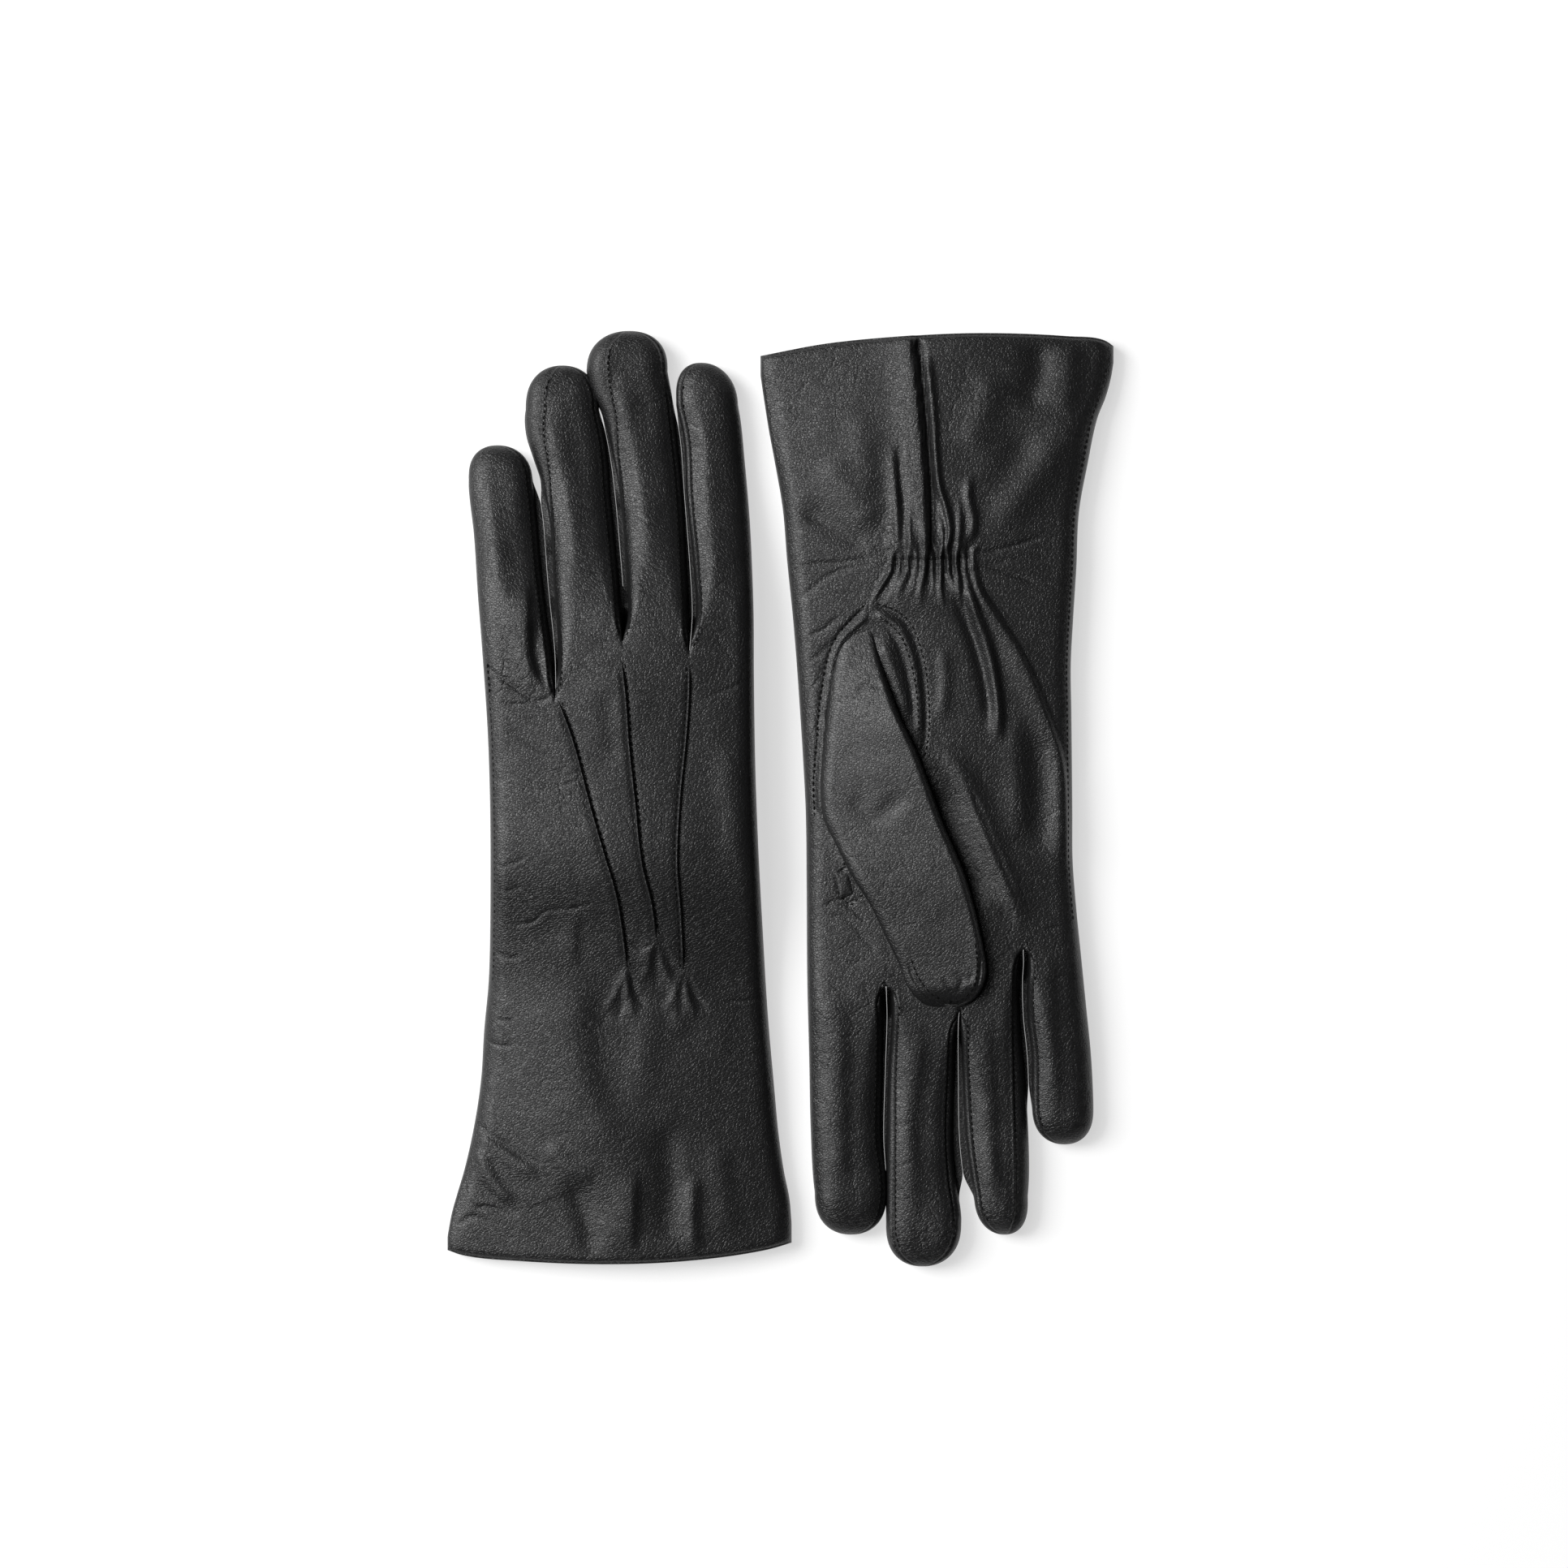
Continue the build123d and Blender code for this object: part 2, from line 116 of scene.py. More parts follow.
def nearest_on(line, x, y):
    """Signed distance to a polyline, positive to the left of its travel, and the share of its length at the
    nearest point."""
    best, side, share = np.full(x.shape, 1e9), np.zeros(x.shape), np.zeros(x.shape)
    runs = np.hypot(*np.diff(line, axis=0).T)
    before = np.concatenate([[0], np.cumsum(runs)])
    for (a, b, run, start) in zip(line[:-1], line[1:], runs, before):
        dx, dy = (b - a) / max(run, 1e-9)
        along = np.clip((x - a[0]) * dx + (y - a[1]) * dy, 0, run)
        ex, ey = x - a[0] - along * dx, y - a[1] - along * dy
        d = np.hypot(ex, ey)
        near = d < best
        best = np.where(near, d, best)
        side = np.where(near, np.sign(dx * ey - dy * ex), side)
        share = np.where(near, (start + along) / before[-1], share)
    return best * np.where(side == 0, 1, side), share


def fold(z, x, y, points, height, left, right=None, ends=0.25):
    """Adds a fold along a line: a bell of that height, left and right mm wide on its two sides, fading over
    its ends."""
    right = left if right is None else right
    line = smooth_line(points, max(8, 5 * len(points)))
    reach = 3 * max(left, right)
    lo, hi = line.min(0) - reach, line.max(0) + reach
    here = (x > lo[0]) & (x < hi[0]) & (y > lo[1]) & (y < hi[1])
    if not here.any():
        return
    d, share = nearest_on(line, x[here], y[here])
    bell = np.exp(-(d / np.where(d > 0, left, right)) ** 2)
    fade = 1.0 if ends == 0 else ease(0, ends, share) * ease(0, ends, 1 - share)
    z[here] += height * bell * fade


# ---------------------------------------------------------------- outlines

# The edges of each hand in (y, x), from hem to finger.
LEFT_LITTLE_EDGE = [(-148, -109), (-139.5, -107.6), (-131.6, -105.7), (-123.6, -103.6), (-107.7, -100.3),
                    (-91.8, -98), (-76, -97), (-60, -95.5), (-44, -94.9), (-12, -94.6), (19.5, -95.4),
                    (51, -97.5), (67, -98.8), (86, -100.2), (101.6, -102), (104, -102)]
LEFT_INDEX_EDGE = [(-146, 3.6), (-137, 2.9), (-126, 1.1), (-110, -0.8), (-97, -1.9), (-70.6, -4.2),
                   (-44, -5.8), (-17.6, -7.2), (9, -8.2), (40, -8.7), (60, -8.8), (80, -9.5), (91, -10.1),
                   (112, -11.9), (123, -13), (130, -14.2)]
RIGHT_INDEX_EDGE = [(146, -6.6), (133.4, -5), (125.5, -4), (109.6, -1.6), (93.7, 0.8), (77.8, 2.1), (59.2, 4),
                    (43.3, 5.3), (27.4, 6.4), (11.5, 7.4), (-4.4, 8.2), (-28.2, 8.5), (-60, 8.7), (-84, 9.3),
                    (-107.7, 9.8), (-124, 10.6), (-131, 11.4)]
RIGHT_LITTLE_EDGE = [(147, 108.9), (141.4, 108.1), (133.4, 106.3), (125.5, 103.6), (109.6, 100.4),
                     (93.7, 97.6), (75, 96.7), (59.2, 95.7), (43.3, 94.9), (27.4, 95.1), (-4.4, 95.4),
                     (-20.3, 95.5), (-36.2, 96.7), (-52, 98.3), (-68, 99.9), (-84, 101.5), (-99.8, 102.3),
                     (-103, 102.3)]
LEFT_HEM = [(-109.5, -147.2), (-104, -149), (-85, -150.8), (-56, -151.7), (-30, -150.6), (-5, -147.2),
            (4, -144.8)]
RIGHT_HEM = [(-7, 144), (15, 148), (42, 150.4), (66, 151.3), (94, 150.4), (106, 149.1), (109.5, 146.9)]

# Sides of each finger past its crotch, in (y, x), then where the tip's rounding starts and the tip's y and x.
FINGERS = {
    "left": {
        "little": (None, [(32.7, -73.5), (43, -74.1), (59, -76.2), (75, -78.2), (91, -79.7), (101.6, -80.8),
                          (106, -81.6)],
                   (103.5, 115.4, -92.6)),
        "ring": ([(32.7, -73.3), (48.6, -72.6), (70, -74.1), (91, -75.6), (103, -78.2), (112, -81.2),
                  (118, -83.1), (124, -83.7), (130, -82.9)],
                 [(51.3, -51.6), (59, -51.9), (70, -52.8), (80, -53.8), (91, -54.9), (99, -55.7),
                  (114, -56.9), (125.5, -59.1), (130, -60)], (127, 141.5, -71.4)),
        "middle": ([(51.3, -51.2), (59, -49.8), (70, -50.2), (80, -50.9), (91, -51.7), (101.6, -52.9),
                    (114, -55.4), (125, -58.2), (134, -62.4), (141, -63.7)],
                   [(47.8, -29.9), (59, -30), (80, -31), (99, -32.1), (110, -33.1), (120, -34.2),
                    (130, -35.3), (139, -36.9), (142, -37.4)], (139.5, 152.8, -49.6)),
        "index": ([(47.8, -29.6), (60, -27.6), (75, -28.4), (99, -30.8), (117.5, -31.8), (130, -34.4),
                   (136, -35.2)], None,
                  (128.5, 142.4, -26)),
    },
    "right": {
        "index": (None, [(-61.5, 34.3), (-62.6, 33.0), (-66, 32.7), (-71, 33.2), (-90, 33.2), (-112, 33.0),
                         (-123, 34.5), (-129, 34.7), (-134, 33.9)],
                  (-129, -142.8, 23)),
        "middle": ([(-61.5, 34.7), (-62.6, 36.2), (-66, 36.7), (-71, 36.4), (-90, 35.2), (-112, 34.5),
                    (-130, 34.4), (-141, 34.5)],
                   [(-69.3, 58.4), (-73, 57.6), (-90, 56.8), (-112, 56.4), (-125, 57.4), (-137, 59.1),
                    (-141, 59)],
                   (-139, -153.2, 46.4)),
        "ring": ([(-69.3, 58.8), (-75, 58.9), (-90, 59.4), (-112, 60.7), (-125, 62.4), (-133, 63.8)],
                 [(-49.4, 79.3), (-50.6, 78.0), (-54, 77.6), (-60, 77.6), (-71, 78.1), (-90, 79.8),
                  (-112, 81.1), (-125, 81.2), (-133, 80.6)],
                 (-130, -142.8, 73.2)),
        "little": ([(-49.4, 79.7), (-50.6, 81.0), (-54, 81.4), (-60, 80.6), (-71, 80.6), (-84, 82.0),
                    (-100, 82.2), (-105, 82.6)], None,
                   (-101, -113.3, 92.8)),
    },
}
ORDER = {"left": ["little", "ring", "middle", "index"], "right": ["index", "middle", "ring", "little"]}
CROTCHES = {"left": [(32.7, -73.4), (51.3, -51.4), (47.8, -29.7)],
            "right": [(-61.5, 34.5), (-69.3, 58.6), (-49.4, 79.5)]}
HINGES = {"left": {"index": 70, "middle": 78, "ring": 78, "little": 57.4},
          "right": {"index": -70, "middle": -78, "ring": -78, "little": -57.4}}
SPLIT = 11.0  # a finger's leather starts this far before its hinge

# Underside of the gloves, in (distance along, z): the left one rises over its thumb.
UNDERSIDE = {
    "left": through([(-160, 0.4), (-72, 0.4), (-60, 1.2), (-44, 4.2), (-24, 9.0), (8, 9.4), (50, 9.4),
                     (64, 8.6), (78, 5.6), (92, 2.4), (106, 0.5), (120, 0.2), (160, 0.2)]),
    "right": through([(-160, 0.5), (-100, 0.9), (50, 0.9), (72, 0.9), (92, 0.2), (160, 0.2)]),
}
# Thickness through both sides at the middle.
THICK = {
    "left": through([(-160, 8.2), (-120, 9.6), (-60, 10.4), (40, 10.4), (90, 11.2), (160, 11.4)]),
    "right": through([(-160, 8.4), (-120, 9.6), (-60, 10.2), (40, 10.2), (90, 11.2), (160, 11.4)]),
}

# Seams on the back and palm: how far from the finger's side, in (y, mm).
SEAM_IN = {
    ("left", "ring", 0): through([(30, 1.0), (96, 1.2), (112, 4.2), (126, 5.6), (142, 4)]),
    ("left", "middle", 0): through([(30, 1.0), (110, 1.2), (124, 3.6), (138, 6.4), (153, 4)]),
    ("right", "ring", 1): through([(-143, 3.6), (-112, 4.2), (-90, 3.4), (-60, 1.4), (-40, 1)]),
    ("right", "middle", 1): through([(-153, 2.4), (-112, 2.2), (-90, 2.0), (-60, 1.4), (-40, 1)]),
    ("right", "middle", 0): through([(-153, 2.2), (-112, 2.4), (-90, 1.8), (-60, 1.2), (-40, 1)]),
}
PLAIN_SEAM = through([(-160, 1.5), (0, 1.2), (160, 1.5)])

# The points stitched into each back, from the fingers to the wrist.
POINTS = [
    [(-72.3, 31.6), (-67.6, 18.7), (-62, -2.3), (-57.5, -17.9), (-53.5, -31.7), (-50.1, -55)],
    [(-51.7, 44), (-50.4, 32.7), (-49.3, 17.1), (-47.4, -0.7), (-45.1, -21.6), (-42.1, -34.1),
     (-40.6, -45.4)],
    [(-29.7, 43.1), (-29.9, 32.7), (-31, 17.1), (-32.6, 1.7), (-33.7, -21.6), (-32.6, -37.2), (-31.8, -55.4)],
]

# The thumb, right glove: its two sides from the top of the thumb hole to just before the tip, then the tip.
THUMB_LEFT = [(28.4, 61.6), (20.6, 52), (17, 41), (15.2, 30), (13.8, 16), (13.0, 2), (14, -6.6), (17.4, -14),
              (23.6, -26), (29.2, -35), (34.6, -46), (39.2, -55.4)]
THUMB_RIGHT = [(29.2, 61.4), (31.2, 50), (34.6, 38.6), (38.8, 27), (44.3, 15.3), (48.6, 4), (53.1, -8.5),
               (56.8, -17), (60.1, -25.2), (63, -35), (65.4, -45), (66.9, -53)]
THUMB_TIP = (55.4, -69.4)
CREASE_POINT = np.array([48.5, 22.1])
CREASE_NORMAL = np.array([0.8998, -0.4363])


def along(side, y):
    """Distance along a glove towards its fingertips."""
    return y if side == "left" else -y


def half_turn(line):
    """A line of one glove turned half round, onto the other."""
    return [(0.5 - px, -py) for px, py in line]


# ---------------------------------------------------------------- folds pressed into the leather

def left_back_folds(z, x, y):
    """The left glove's back: soft undulation, a crown, folds at the cuff, creases, and puckers below the
    points."""
    z += 0.35 * soft_noise(x, y, 24, 1) + 0.14 * soft_noise(x, y, 9, 2) * ease(160, 40, y)
    across = (x + 46) / 48
    z += 3.4 * (1 - np.clip(np.abs(across), 0, 1.2) ** 1.8) * ease(110, 30, y)
    # the broad fold down the cuff, its foot, and the hollow beside it
    fold(z, x, y, [(-66, -40), (-67, -62), (-67, -80), (-64, -96), (-57, -111), (-51, -123), (-48.5, -140)],
         2.0, 13.0, 22, 0.36)
    fold(z, x, y, [(-57, -48), (-59, -78), (-55, -98), (-47, -116)], -0.7, 6, 6, 0.35)
    fold(z, x, y, [(-42, -60), (-44.6, -82), (-45, -104)], 0.6, 6, 5, 0.45)
    fold(z, x, y, [(-48.2, -119), (-48.6, -132), (-49.5, -151)], 1.1, 2.4, 8.0, 0.34)
    fold(z, x, y, [(-70, -122), (-66, -130), (-63, -140), (-61, -152)], -1.0, 4.2, 3.6, 0.3)
    fold(z, x, y, [(-34, -56), (-33.5, -68), (-33, -80)], 0.5, 3.0, 2.4, 0.45)
    fold(z, x, y, [(-28, -122), (-29, -136), (-28, -150)], 0.8, 2.4, 2.4)
    fold(z, x, y, [(-21, -112), (-19, -130), (-17, -146)], 0.6, 4, 5)
    fold(z, x, y, [(-38, -104), (-36, -124), (-37, -148)], -0.8, 4, 5)
    # folds at the little finger's side of the cuff
    fold(z, x, y, [(-101, -104), (-95.5, -109.5), (-89, -113.4), (-84, -117), (-77, -120)], -0.5, 1.0, 1.5)
    fold(z, x, y, [(-100, -108), (-94, -113.5), (-86, -119.5), (-78, -123)], 0.6, 3.4, 3.0)
    fold(z, x, y, [(-99, -113), (-96.5, -121), (-92, -128), (-86, -133)], 0.8, 2.2, 2.2)
    fold(z, x, y, [(-101, -124), (-96, -128.5), (-91, -132), (-84.5, -137)], -0.4, 1.3, 1.3)
    fold(z, x, y, [(-106, -140.5), (-102, -137), (-98.5, -136.8), (-94.5, -139.5)], -0.3, 0.8, 1.0)
    fold(z, x, y, [(-101, -133.5), (-94, -134), (-88, -137)], -0.45, 0.8)
    fold(z, x, y, [(-77, -112), (-68, -121), (-60, -124)], 0.6, 3)
    # creases
    creases = [
        ([(-97.4, 44), (-91, 39.4), (-85, 35), (-79, 31.6), (-75, 33), (-73, 36)], 0.7, 0.9),
        ([(-93, 31), (-87, 30.4), (-80, 30.6), (-72, 28)], 0.45, 0.9),
        ([(-91, -41), (-85, -41), (-80.6, -40.4), (-76.9, -37), (-67.2, -35.8), (-58, -33.4)], 0.5, 0.8),
        ([(-94.6, -49.6), (-90.2, -51.6), (-84, -52.2)], 0.6, 0.8),
        ([(-93.4, -22.8), (-87.3, -21.4), (-82, -18.6)], 0.35, 0.8),
        ([(-92, 22), (-87, 21.2), (-80, 16.7), (-70, 12.3)], 0.3, 0.9),
        ([(-80, 5.6), (-73, 4), (-64, 6.2)], 0.3, 0.8),
        ([(-66, 44.6), (-60, 41.2), (-57, 39)], 0.3, 0.8),
        ([(-26, 32.2), (-19, 34.6), (-9.5, 39)], 0.28, 0.8),
        ([(-93, -72), (-87, -73.1)], 0.6, 0.8),
        ([(-96.8, -78.2), (-93.4, -80.3), (-87, -81)], 0.6, 0.8),
        ([(-21, -66.4), (-13, -66.2), (-5.2, -65.6)], 0.4, 0.8),
        ([(-19, -82), (-11, -83.6), (-3.6, -84)], 0.45, 0.8),
        ([(-50, -46), (-45, -49), (-40.6, -46.4)], 0.5, 0.9),
        ([(-76, -95), (-66, -96.5), (-60, -101)], 0.25, 0.8),
        ([(-91, -31), (-84, -28.6)], 0.3, 0.8),
        ([(-82.5, 37.5), (-84, 42), (-83, 47)], 0.3, 1.2),
    ]
    for points, depth, width in creases:
        fold(z, x, y, points, -0.6 * depth, 0.75 * width)
    # the hollow beside the little finger's ridge
    fold(z, x, y, [(-82.5, 72), (-82.3, 54), (-81.5, 44), (-77, 34)], 1.0, 1.2, 5)
    fold(z, x, y, [(-79.4, 60), (-79.2, 48), (-76.4, 36)], -0.9, 2.4)
    fold(z, x, y, [(-66, -34), (-67.6, -44), (-67, -58)], 0.4, 1.8, 4, 0.4)
    fold(z, x, y, [(-56.8, 37), (-55.8, 24), (-54.6, 10)], -0.3, 3.2)
    fold(z, x, y, [(-18, 20), (-16, 0), (-14, -24)], 0.5, 4)
    # each point's own bed, and the puckers where it ends
    for line in POINTS:
        fold(z, x, y, line, -0.35, 1.2, 1.2, 0.06)
    for (px, py), turn in (((-50.1, -56), 0), ((-40.6, -46), 0.2), ((-31.8, -56.5), 0.1)):
        for k, spread in enumerate((-0.5, -0.16, 0.14, 0.46)):
            run = (15, 18, 17, 14)[k]
            mid = (px + (spread + turn) * run * 0.45, py - run * 0.5)
            end = (px + (spread + turn) * run * 1.1, py - run)
            fold(z, x, y, [(px, py + 1.5), mid, end], (0.34, -0.34, 0.4, -0.3)[k], 1.0, 1.4, 0.3)
    fold(z, x, y, [(-50.4, -54.5), (-50.4, -61), (-50.8, -68)], 0.6, 1.0, 1.4, 0.4)
    fold(z, x, y, [(-41.4, -45), (-43.4, -49.5), (-44, -56)], 0.5, 2.2, 2.2, 0.4)


def right_palm_folds(z, x, y):
    """The right glove's palm: the gathered wrist, the cuff's seam, the folds that fan from the elastic, and
    the creases."""
    z += 0.3 * soft_noise(x, y, 24, 5) + 0.12 * soft_noise(x, y, 9, 6)
    across = (x - 56) / 48
    z += 3.0 * (1 - np.clip(np.abs(across), 0, 1.2) ** 1.8) * ease(-110, -40, y)
    # the cuff's seam: the left part's folded edge lies over the right part
    seam = [(43, 152), (44.6, 137), (46, 122), (47.3, 101), (47.9, 88), (48, 78)]
    fold(z, x, y, seam, 1.5, 0.45, 7, 0)
    fold(z, x, y, [(44.6, 151), (46.4, 136), (47.8, 121), (49.2, 101), (49.4, 88), (49, 79)],
         -1.9, 1.1, 1.1, 0.06)
    fold(z, x, y, [(47.2, 146), (49.4, 126), (51.2, 103), (54, 93.5), (55, 85.5), (52.6, 78)],
         1.3, 1.2, 0.9, 0.12)
    # the gathers
    pinch = [(33.6, 77.4), (41, 77.1), (49, 77.2), (57, 77.5), (64, 78.4)]
    fold(z, x, y, pinch, -0.9, 1.7, 1.7, 0.08)
    fold(z, x, y, [(34, 84), (42, 86), (49, 87), (57, 86), (64, 84)], 0.8, 6, 5)
    fold(z, x, y, [(32, 69), (42, 67), (50, 66), (58, 67), (66, 69)], 0.9, 5, 6)
    up = [9, 34, 22, 12, 16, 9, 15, 12, 22, 13, 8]
    down = [15, 16, 15, 13, 16, 13, 16, 14, 22, 26, 18]
    for k in range(11):
        px = 36.3 + GATHER * k
        lean = (px - 49.5) / 13.5
        bow = 0.5 * (-1) ** k
        top = [(px + bow, 81), (px + 1.2 * lean + bow, 77 + up[k] * 0.6), (px + 1.6 * lean, 78 + up[k])]
        foot = (px + 7.5 * lean, 77 - down[k])
        low = [foot, (px + 3.2 * lean - bow, 77 - down[k] * 0.55), (px + 0.6 * lean, 74), (px, 78.2)]
        line = low + top
        height = 1.0 + 0.25 * (-1) ** k
        fold(z, x, y, line, height, 0.85, 0.7, 0.35)
        fold(z, x, y, [(px + 0.1 * bow, 80), (px, 77.2), (px + 0.3 * lean, 74)], 0.55, 0.75)
        if k < 10:
            fold(z, x, y, [(px + 1.31, 83), (px + 1.31, 77.2), (px + 1.31 + lean, 71)], -0.6, 0.55)
    fold(z, x, y, [(38.4, 118), (39, 104), (40.4, 92), (40, 81)], -0.9, 0.9, 0.9)
    fold(z, x, y, [(36.8, 116), (37.8, 102), (39, 90), (38.4, 80)], 0.7, 1.0, 3)
    fold(z, x, y, [(61.6, 106), (61.4, 98), (63, 90), (61.6, 82)], 1.0, 1.0, 1.4)
    # the diagonal folds towards the cuff's corner
    fold(z, x, y, [(65, 82), (71, 91), (80, 102), (88, 112), (95, 124), (97, 136)], 1.2, 7.5, 6.5, 0.3)
    fold(z, x, y, [(64, 86), (69, 96), (76, 108), (84, 120)], -0.7, 6, 6)
    fold(z, x, y, [(92.5, 124), (94, 136), (94.5, 150)], 0.8, 5, 3.5)
    fold(z, x, y, [(80, 126), (84, 138), (84, 150)], -0.9, 5, 4)
    fold(z, x, y, [(60, 112), (66, 126), (70, 140)], 0.8, 5)
    fold(z, x, y, [(14, 112), (22, 100), (32, 88)], 0.9, 6)
    fold(z, x, y, [(6, 96), (18, 88), (30, 81)], -0.6, 4)
    fold(z, x, y, [(24, 128), (27, 112), (31, 96)], 0.6, 5)
    # creases that run from the elastic to both sides
    creases = [
        ([(4.2, 75.4), (11, 76.4), (19, 76.8), (27, 78), (34.5, 78)], 0.6, 0.9),
        ([(5.4, 63.5), (12, 70), (20, 74.6), (32, 77)], 0.4, 1.0),
        ([(64, 77), (73, 73.8), (85, 69.8)], 0.55, 0.9),
        ([(64.6, 79.6), (76, 82.3), (87, 85.6)], 0.6, 1.0),
        ([(66, 76), (78, 78), (90, 78)], 0.3, 0.9),
        ([(3, 96), (9, 92), (16, 88)], 0.3, 0.8),
        ([(0, 127), (8, 126), (16, 124)], 0.22, 0.8),
        ([(8, 52.5), (14, 55), (20, 60)], 0.45, 0.9),
        ([(8, 44), (13, 47), (17, 52)], 0.4, 0.9),
        ([(9, 34), (12, 38), (14, 44)], 0.3, 0.9),
        ([(13, -36.4), (18, -33.6), (24, -36.5), (29, -42)], 0.5, 0.9),
        ([(14, -39), (20, -38.6), (27, -45), (33, -55)], 0.35, 0.9),
        ([(16, -52), (21, -54), (28, -53)], 0.25, 0.8),
        ([(86, -44), (90, -42), (96, -43)], 0.22, 0.8),
        ([(88, -60), (94, -58), (98, -59)], 0.2, 0.8),
    ]
    for points, depth, width in creases:
        fold(z, x, y, points, -0.6 * depth, 0.85 * width)
    # ridges from the gathers down the palm
    fold(z, x, y, [(59.4, 72), (62.8, 62), (68, 46.9), (70.7, 30), (71, 16)], 1.7, 1.6, 2.2, 0.2)
    fold(z, x, y, [(57.4, 71), (60.4, 60), (65, 46), (68, 32), (68.6, 22)], -1.2, 1.5, 2.2, 0.2)
    fold(z, x, y, [(62, 72), (68, 63), (79.5, 44.3), (89.1, 20.6), (92, 10.9), (93.2, -6), (93.4, -26)],
         1.3, 0.8, 5, 0.12)
    fold(z, x, y, [(84, 26), (85, 4), (84, -20)], -0.8, 5, 5)
    fold(z, x, y, [(52.6, 50), (53.4, 38), (52, 24)], 0.5, 2.4, 2.0)
    fold(z, x, y, [(76, 30), (77, 8), (79, -14)], 0.6, 4)
    # the palm's own crease beside the thumb
    fold(z, x, y, [(50.6, 20), (58.4, 8.2), (65.4, -8.5), (70.7, -21.6), (77, -36.6), (79, -46)],
         1.1, 4.0, 2.6)
    fold(z, x, y, [(60, 8), (66.6, -8), (72, -21), (78, -35)], -0.35, 0.8)
    fold(z, x, y, [(48, 6), (57, -14), (66, -38)], -1.6, 6, 6)
    # the thumb's seams: a raised band between two stitched rows
    left_seam = [(27.6, 62.6), (18, 51.5), (13.6, 34), (12.2, 18), (11.2, 3), (11.8, -6.8)]
    right_seam = [(30.4, 62.8), (36.4, 60.8), (41, 57), (45.2, 46.9), (47.2, 33.7), (47.2, 20.6), (46.2, 14)]
    fold(z, x, y, left_seam, -0.55, 0.6, 0.6, 0.05)
    fold(z, x, y, right_seam, -0.55, 0.6, 0.6, 0.05)
    fold(z, x, y, [(29, 60), (19.2, 50.5), (15.2, 34), (13.8, 18), (12.8, 3), (13.2, -6)],
         0.6, 0.9, 0.9, 0.05)
    fold(z, x, y, [(30.6, 60.6), (38, 56), (42.6, 46), (44.8, 33.4), (45.4, 20.6)], 0.7, 1.0, 0.9, 0.08)
    fold(z, x, y, [(31.2, 58.6), (36.6, 53), (40.4, 44), (42.6, 33), (43.8, 22)], -0.5, 0.6)
    fold(z, x, y, [(32, 54), (36, 44), (39.4, 33), (42, 24)], 1.0, 2.4, 2.6)
    # the quirk's stitched edge
    fold(z, x, y, [(21.4, -21), (19.2, -26), (19.6, -31), (23, -34.2), (26.2, -31.4)], -0.5, 0.6)
    fold(z, x, y, [(17, -10), (20.6, -18), (25, -27)], 0.5, 2.6)


def left_palm_folds(z, x, y):
    """The left glove's palm, which lies downwards: undulation and a gathered wrist, pressed the other way
    up."""
    z -= 0.3 * soft_noise(x, y, 20, 11)
    for k in range(11):
        px = -35.8 - GATHER * k
        lean = (px + 49) / 13.5
        fold(z, x, y, [(px, -76.6), (px, -82), (px + 1.4 * lean, -92)], -0.35, 0.8)
        fold(z, x, y, [(px, -77.8), (px + 0.6 * lean, -73), (px + 5 * lean, -62)], -0.35, 0.8)
    fold(z, x, y, [(-33.6, -77.3), (-49, -77.2), (-64, -77.6)], 0.9, 1.4)


def right_back_folds(z, x, y):
    """The right glove's back, which lies downwards: undulation, and the beds of its points."""
    z -= 0.25 * soft_noise(x, y, 22, 13)
    for line in POINTS:
        fold(z, x, y, half_turn(line), 0.5, 1.5, 1.5, 0.06)


# ---------------------------------------------------------------- the gloves' surfaces

def sides_of(glove, name):
    """Functions of y for a finger's west and east side past its crotches, and for its whole strip down to
    the hem."""
    left, right, tip = FINGERS[glove][name]
    i = ORDER[glove].index(name)
    west_edge = through(LEFT_LITTLE_EDGE if glove == "left" else RIGHT_INDEX_EDGE)
    east_edge = through(LEFT_INDEX_EDGE if glove == "left" else RIGHT_LITTLE_EDGE)

    def border(k):
        """Border k between two strips below their crotch: a constant share of the hand's width."""
        cy, cx = CROTCHES[glove][k]
        share = (cx - west_edge(cy)) / (east_edge(cy) - west_edge(cy))

        def line(y):
            return west_edge(y) + share * (east_edge(y) - west_edge(y))
        return line

    def side_of(points, k, edge):
        if points is None:
            return edge, NO_CROTCH * (1 if glove == "right" else -1)
        free, low, crotch = through(points), border(k), CROTCHES[glove][k][0]

        def side(y):
            return np.where(along(glove, y) > along(glove, crotch), free(y), low(y))
        return side, crotch

    west, west_crotch = side_of(left, i - 1, west_edge)
    east, east_crotch = side_of(right, i, east_edge)
    return west, east, west_crotch, east_crotch, tip


def fork_reach(glove, name, side, y, rows, crotch):
    """How far the fourchette bulges under the gap to the next finger: a little under half the gap while it
    is narrow."""
    if abs(crotch) > NO_CROTCH / 10:
        return 0.0
    near = ORDER[glove][ORDER[glove].index(name) + side]
    mine, other = sides_of(glove, name), sides_of(glove, near)
    gap = other[0](y) - mine[1](y) if side > 0 else mine[0](y) - other[1](y)
    free = min(along(glove, mine[4][0]), along(glove, other[4][0]))
    begin = ease(-0.6, 0.6, rows - along(glove, crotch))
    return np.clip(gap / 2 - 0.05, 0, 2.6) * begin * ease(free + 2, free - 8, rows)


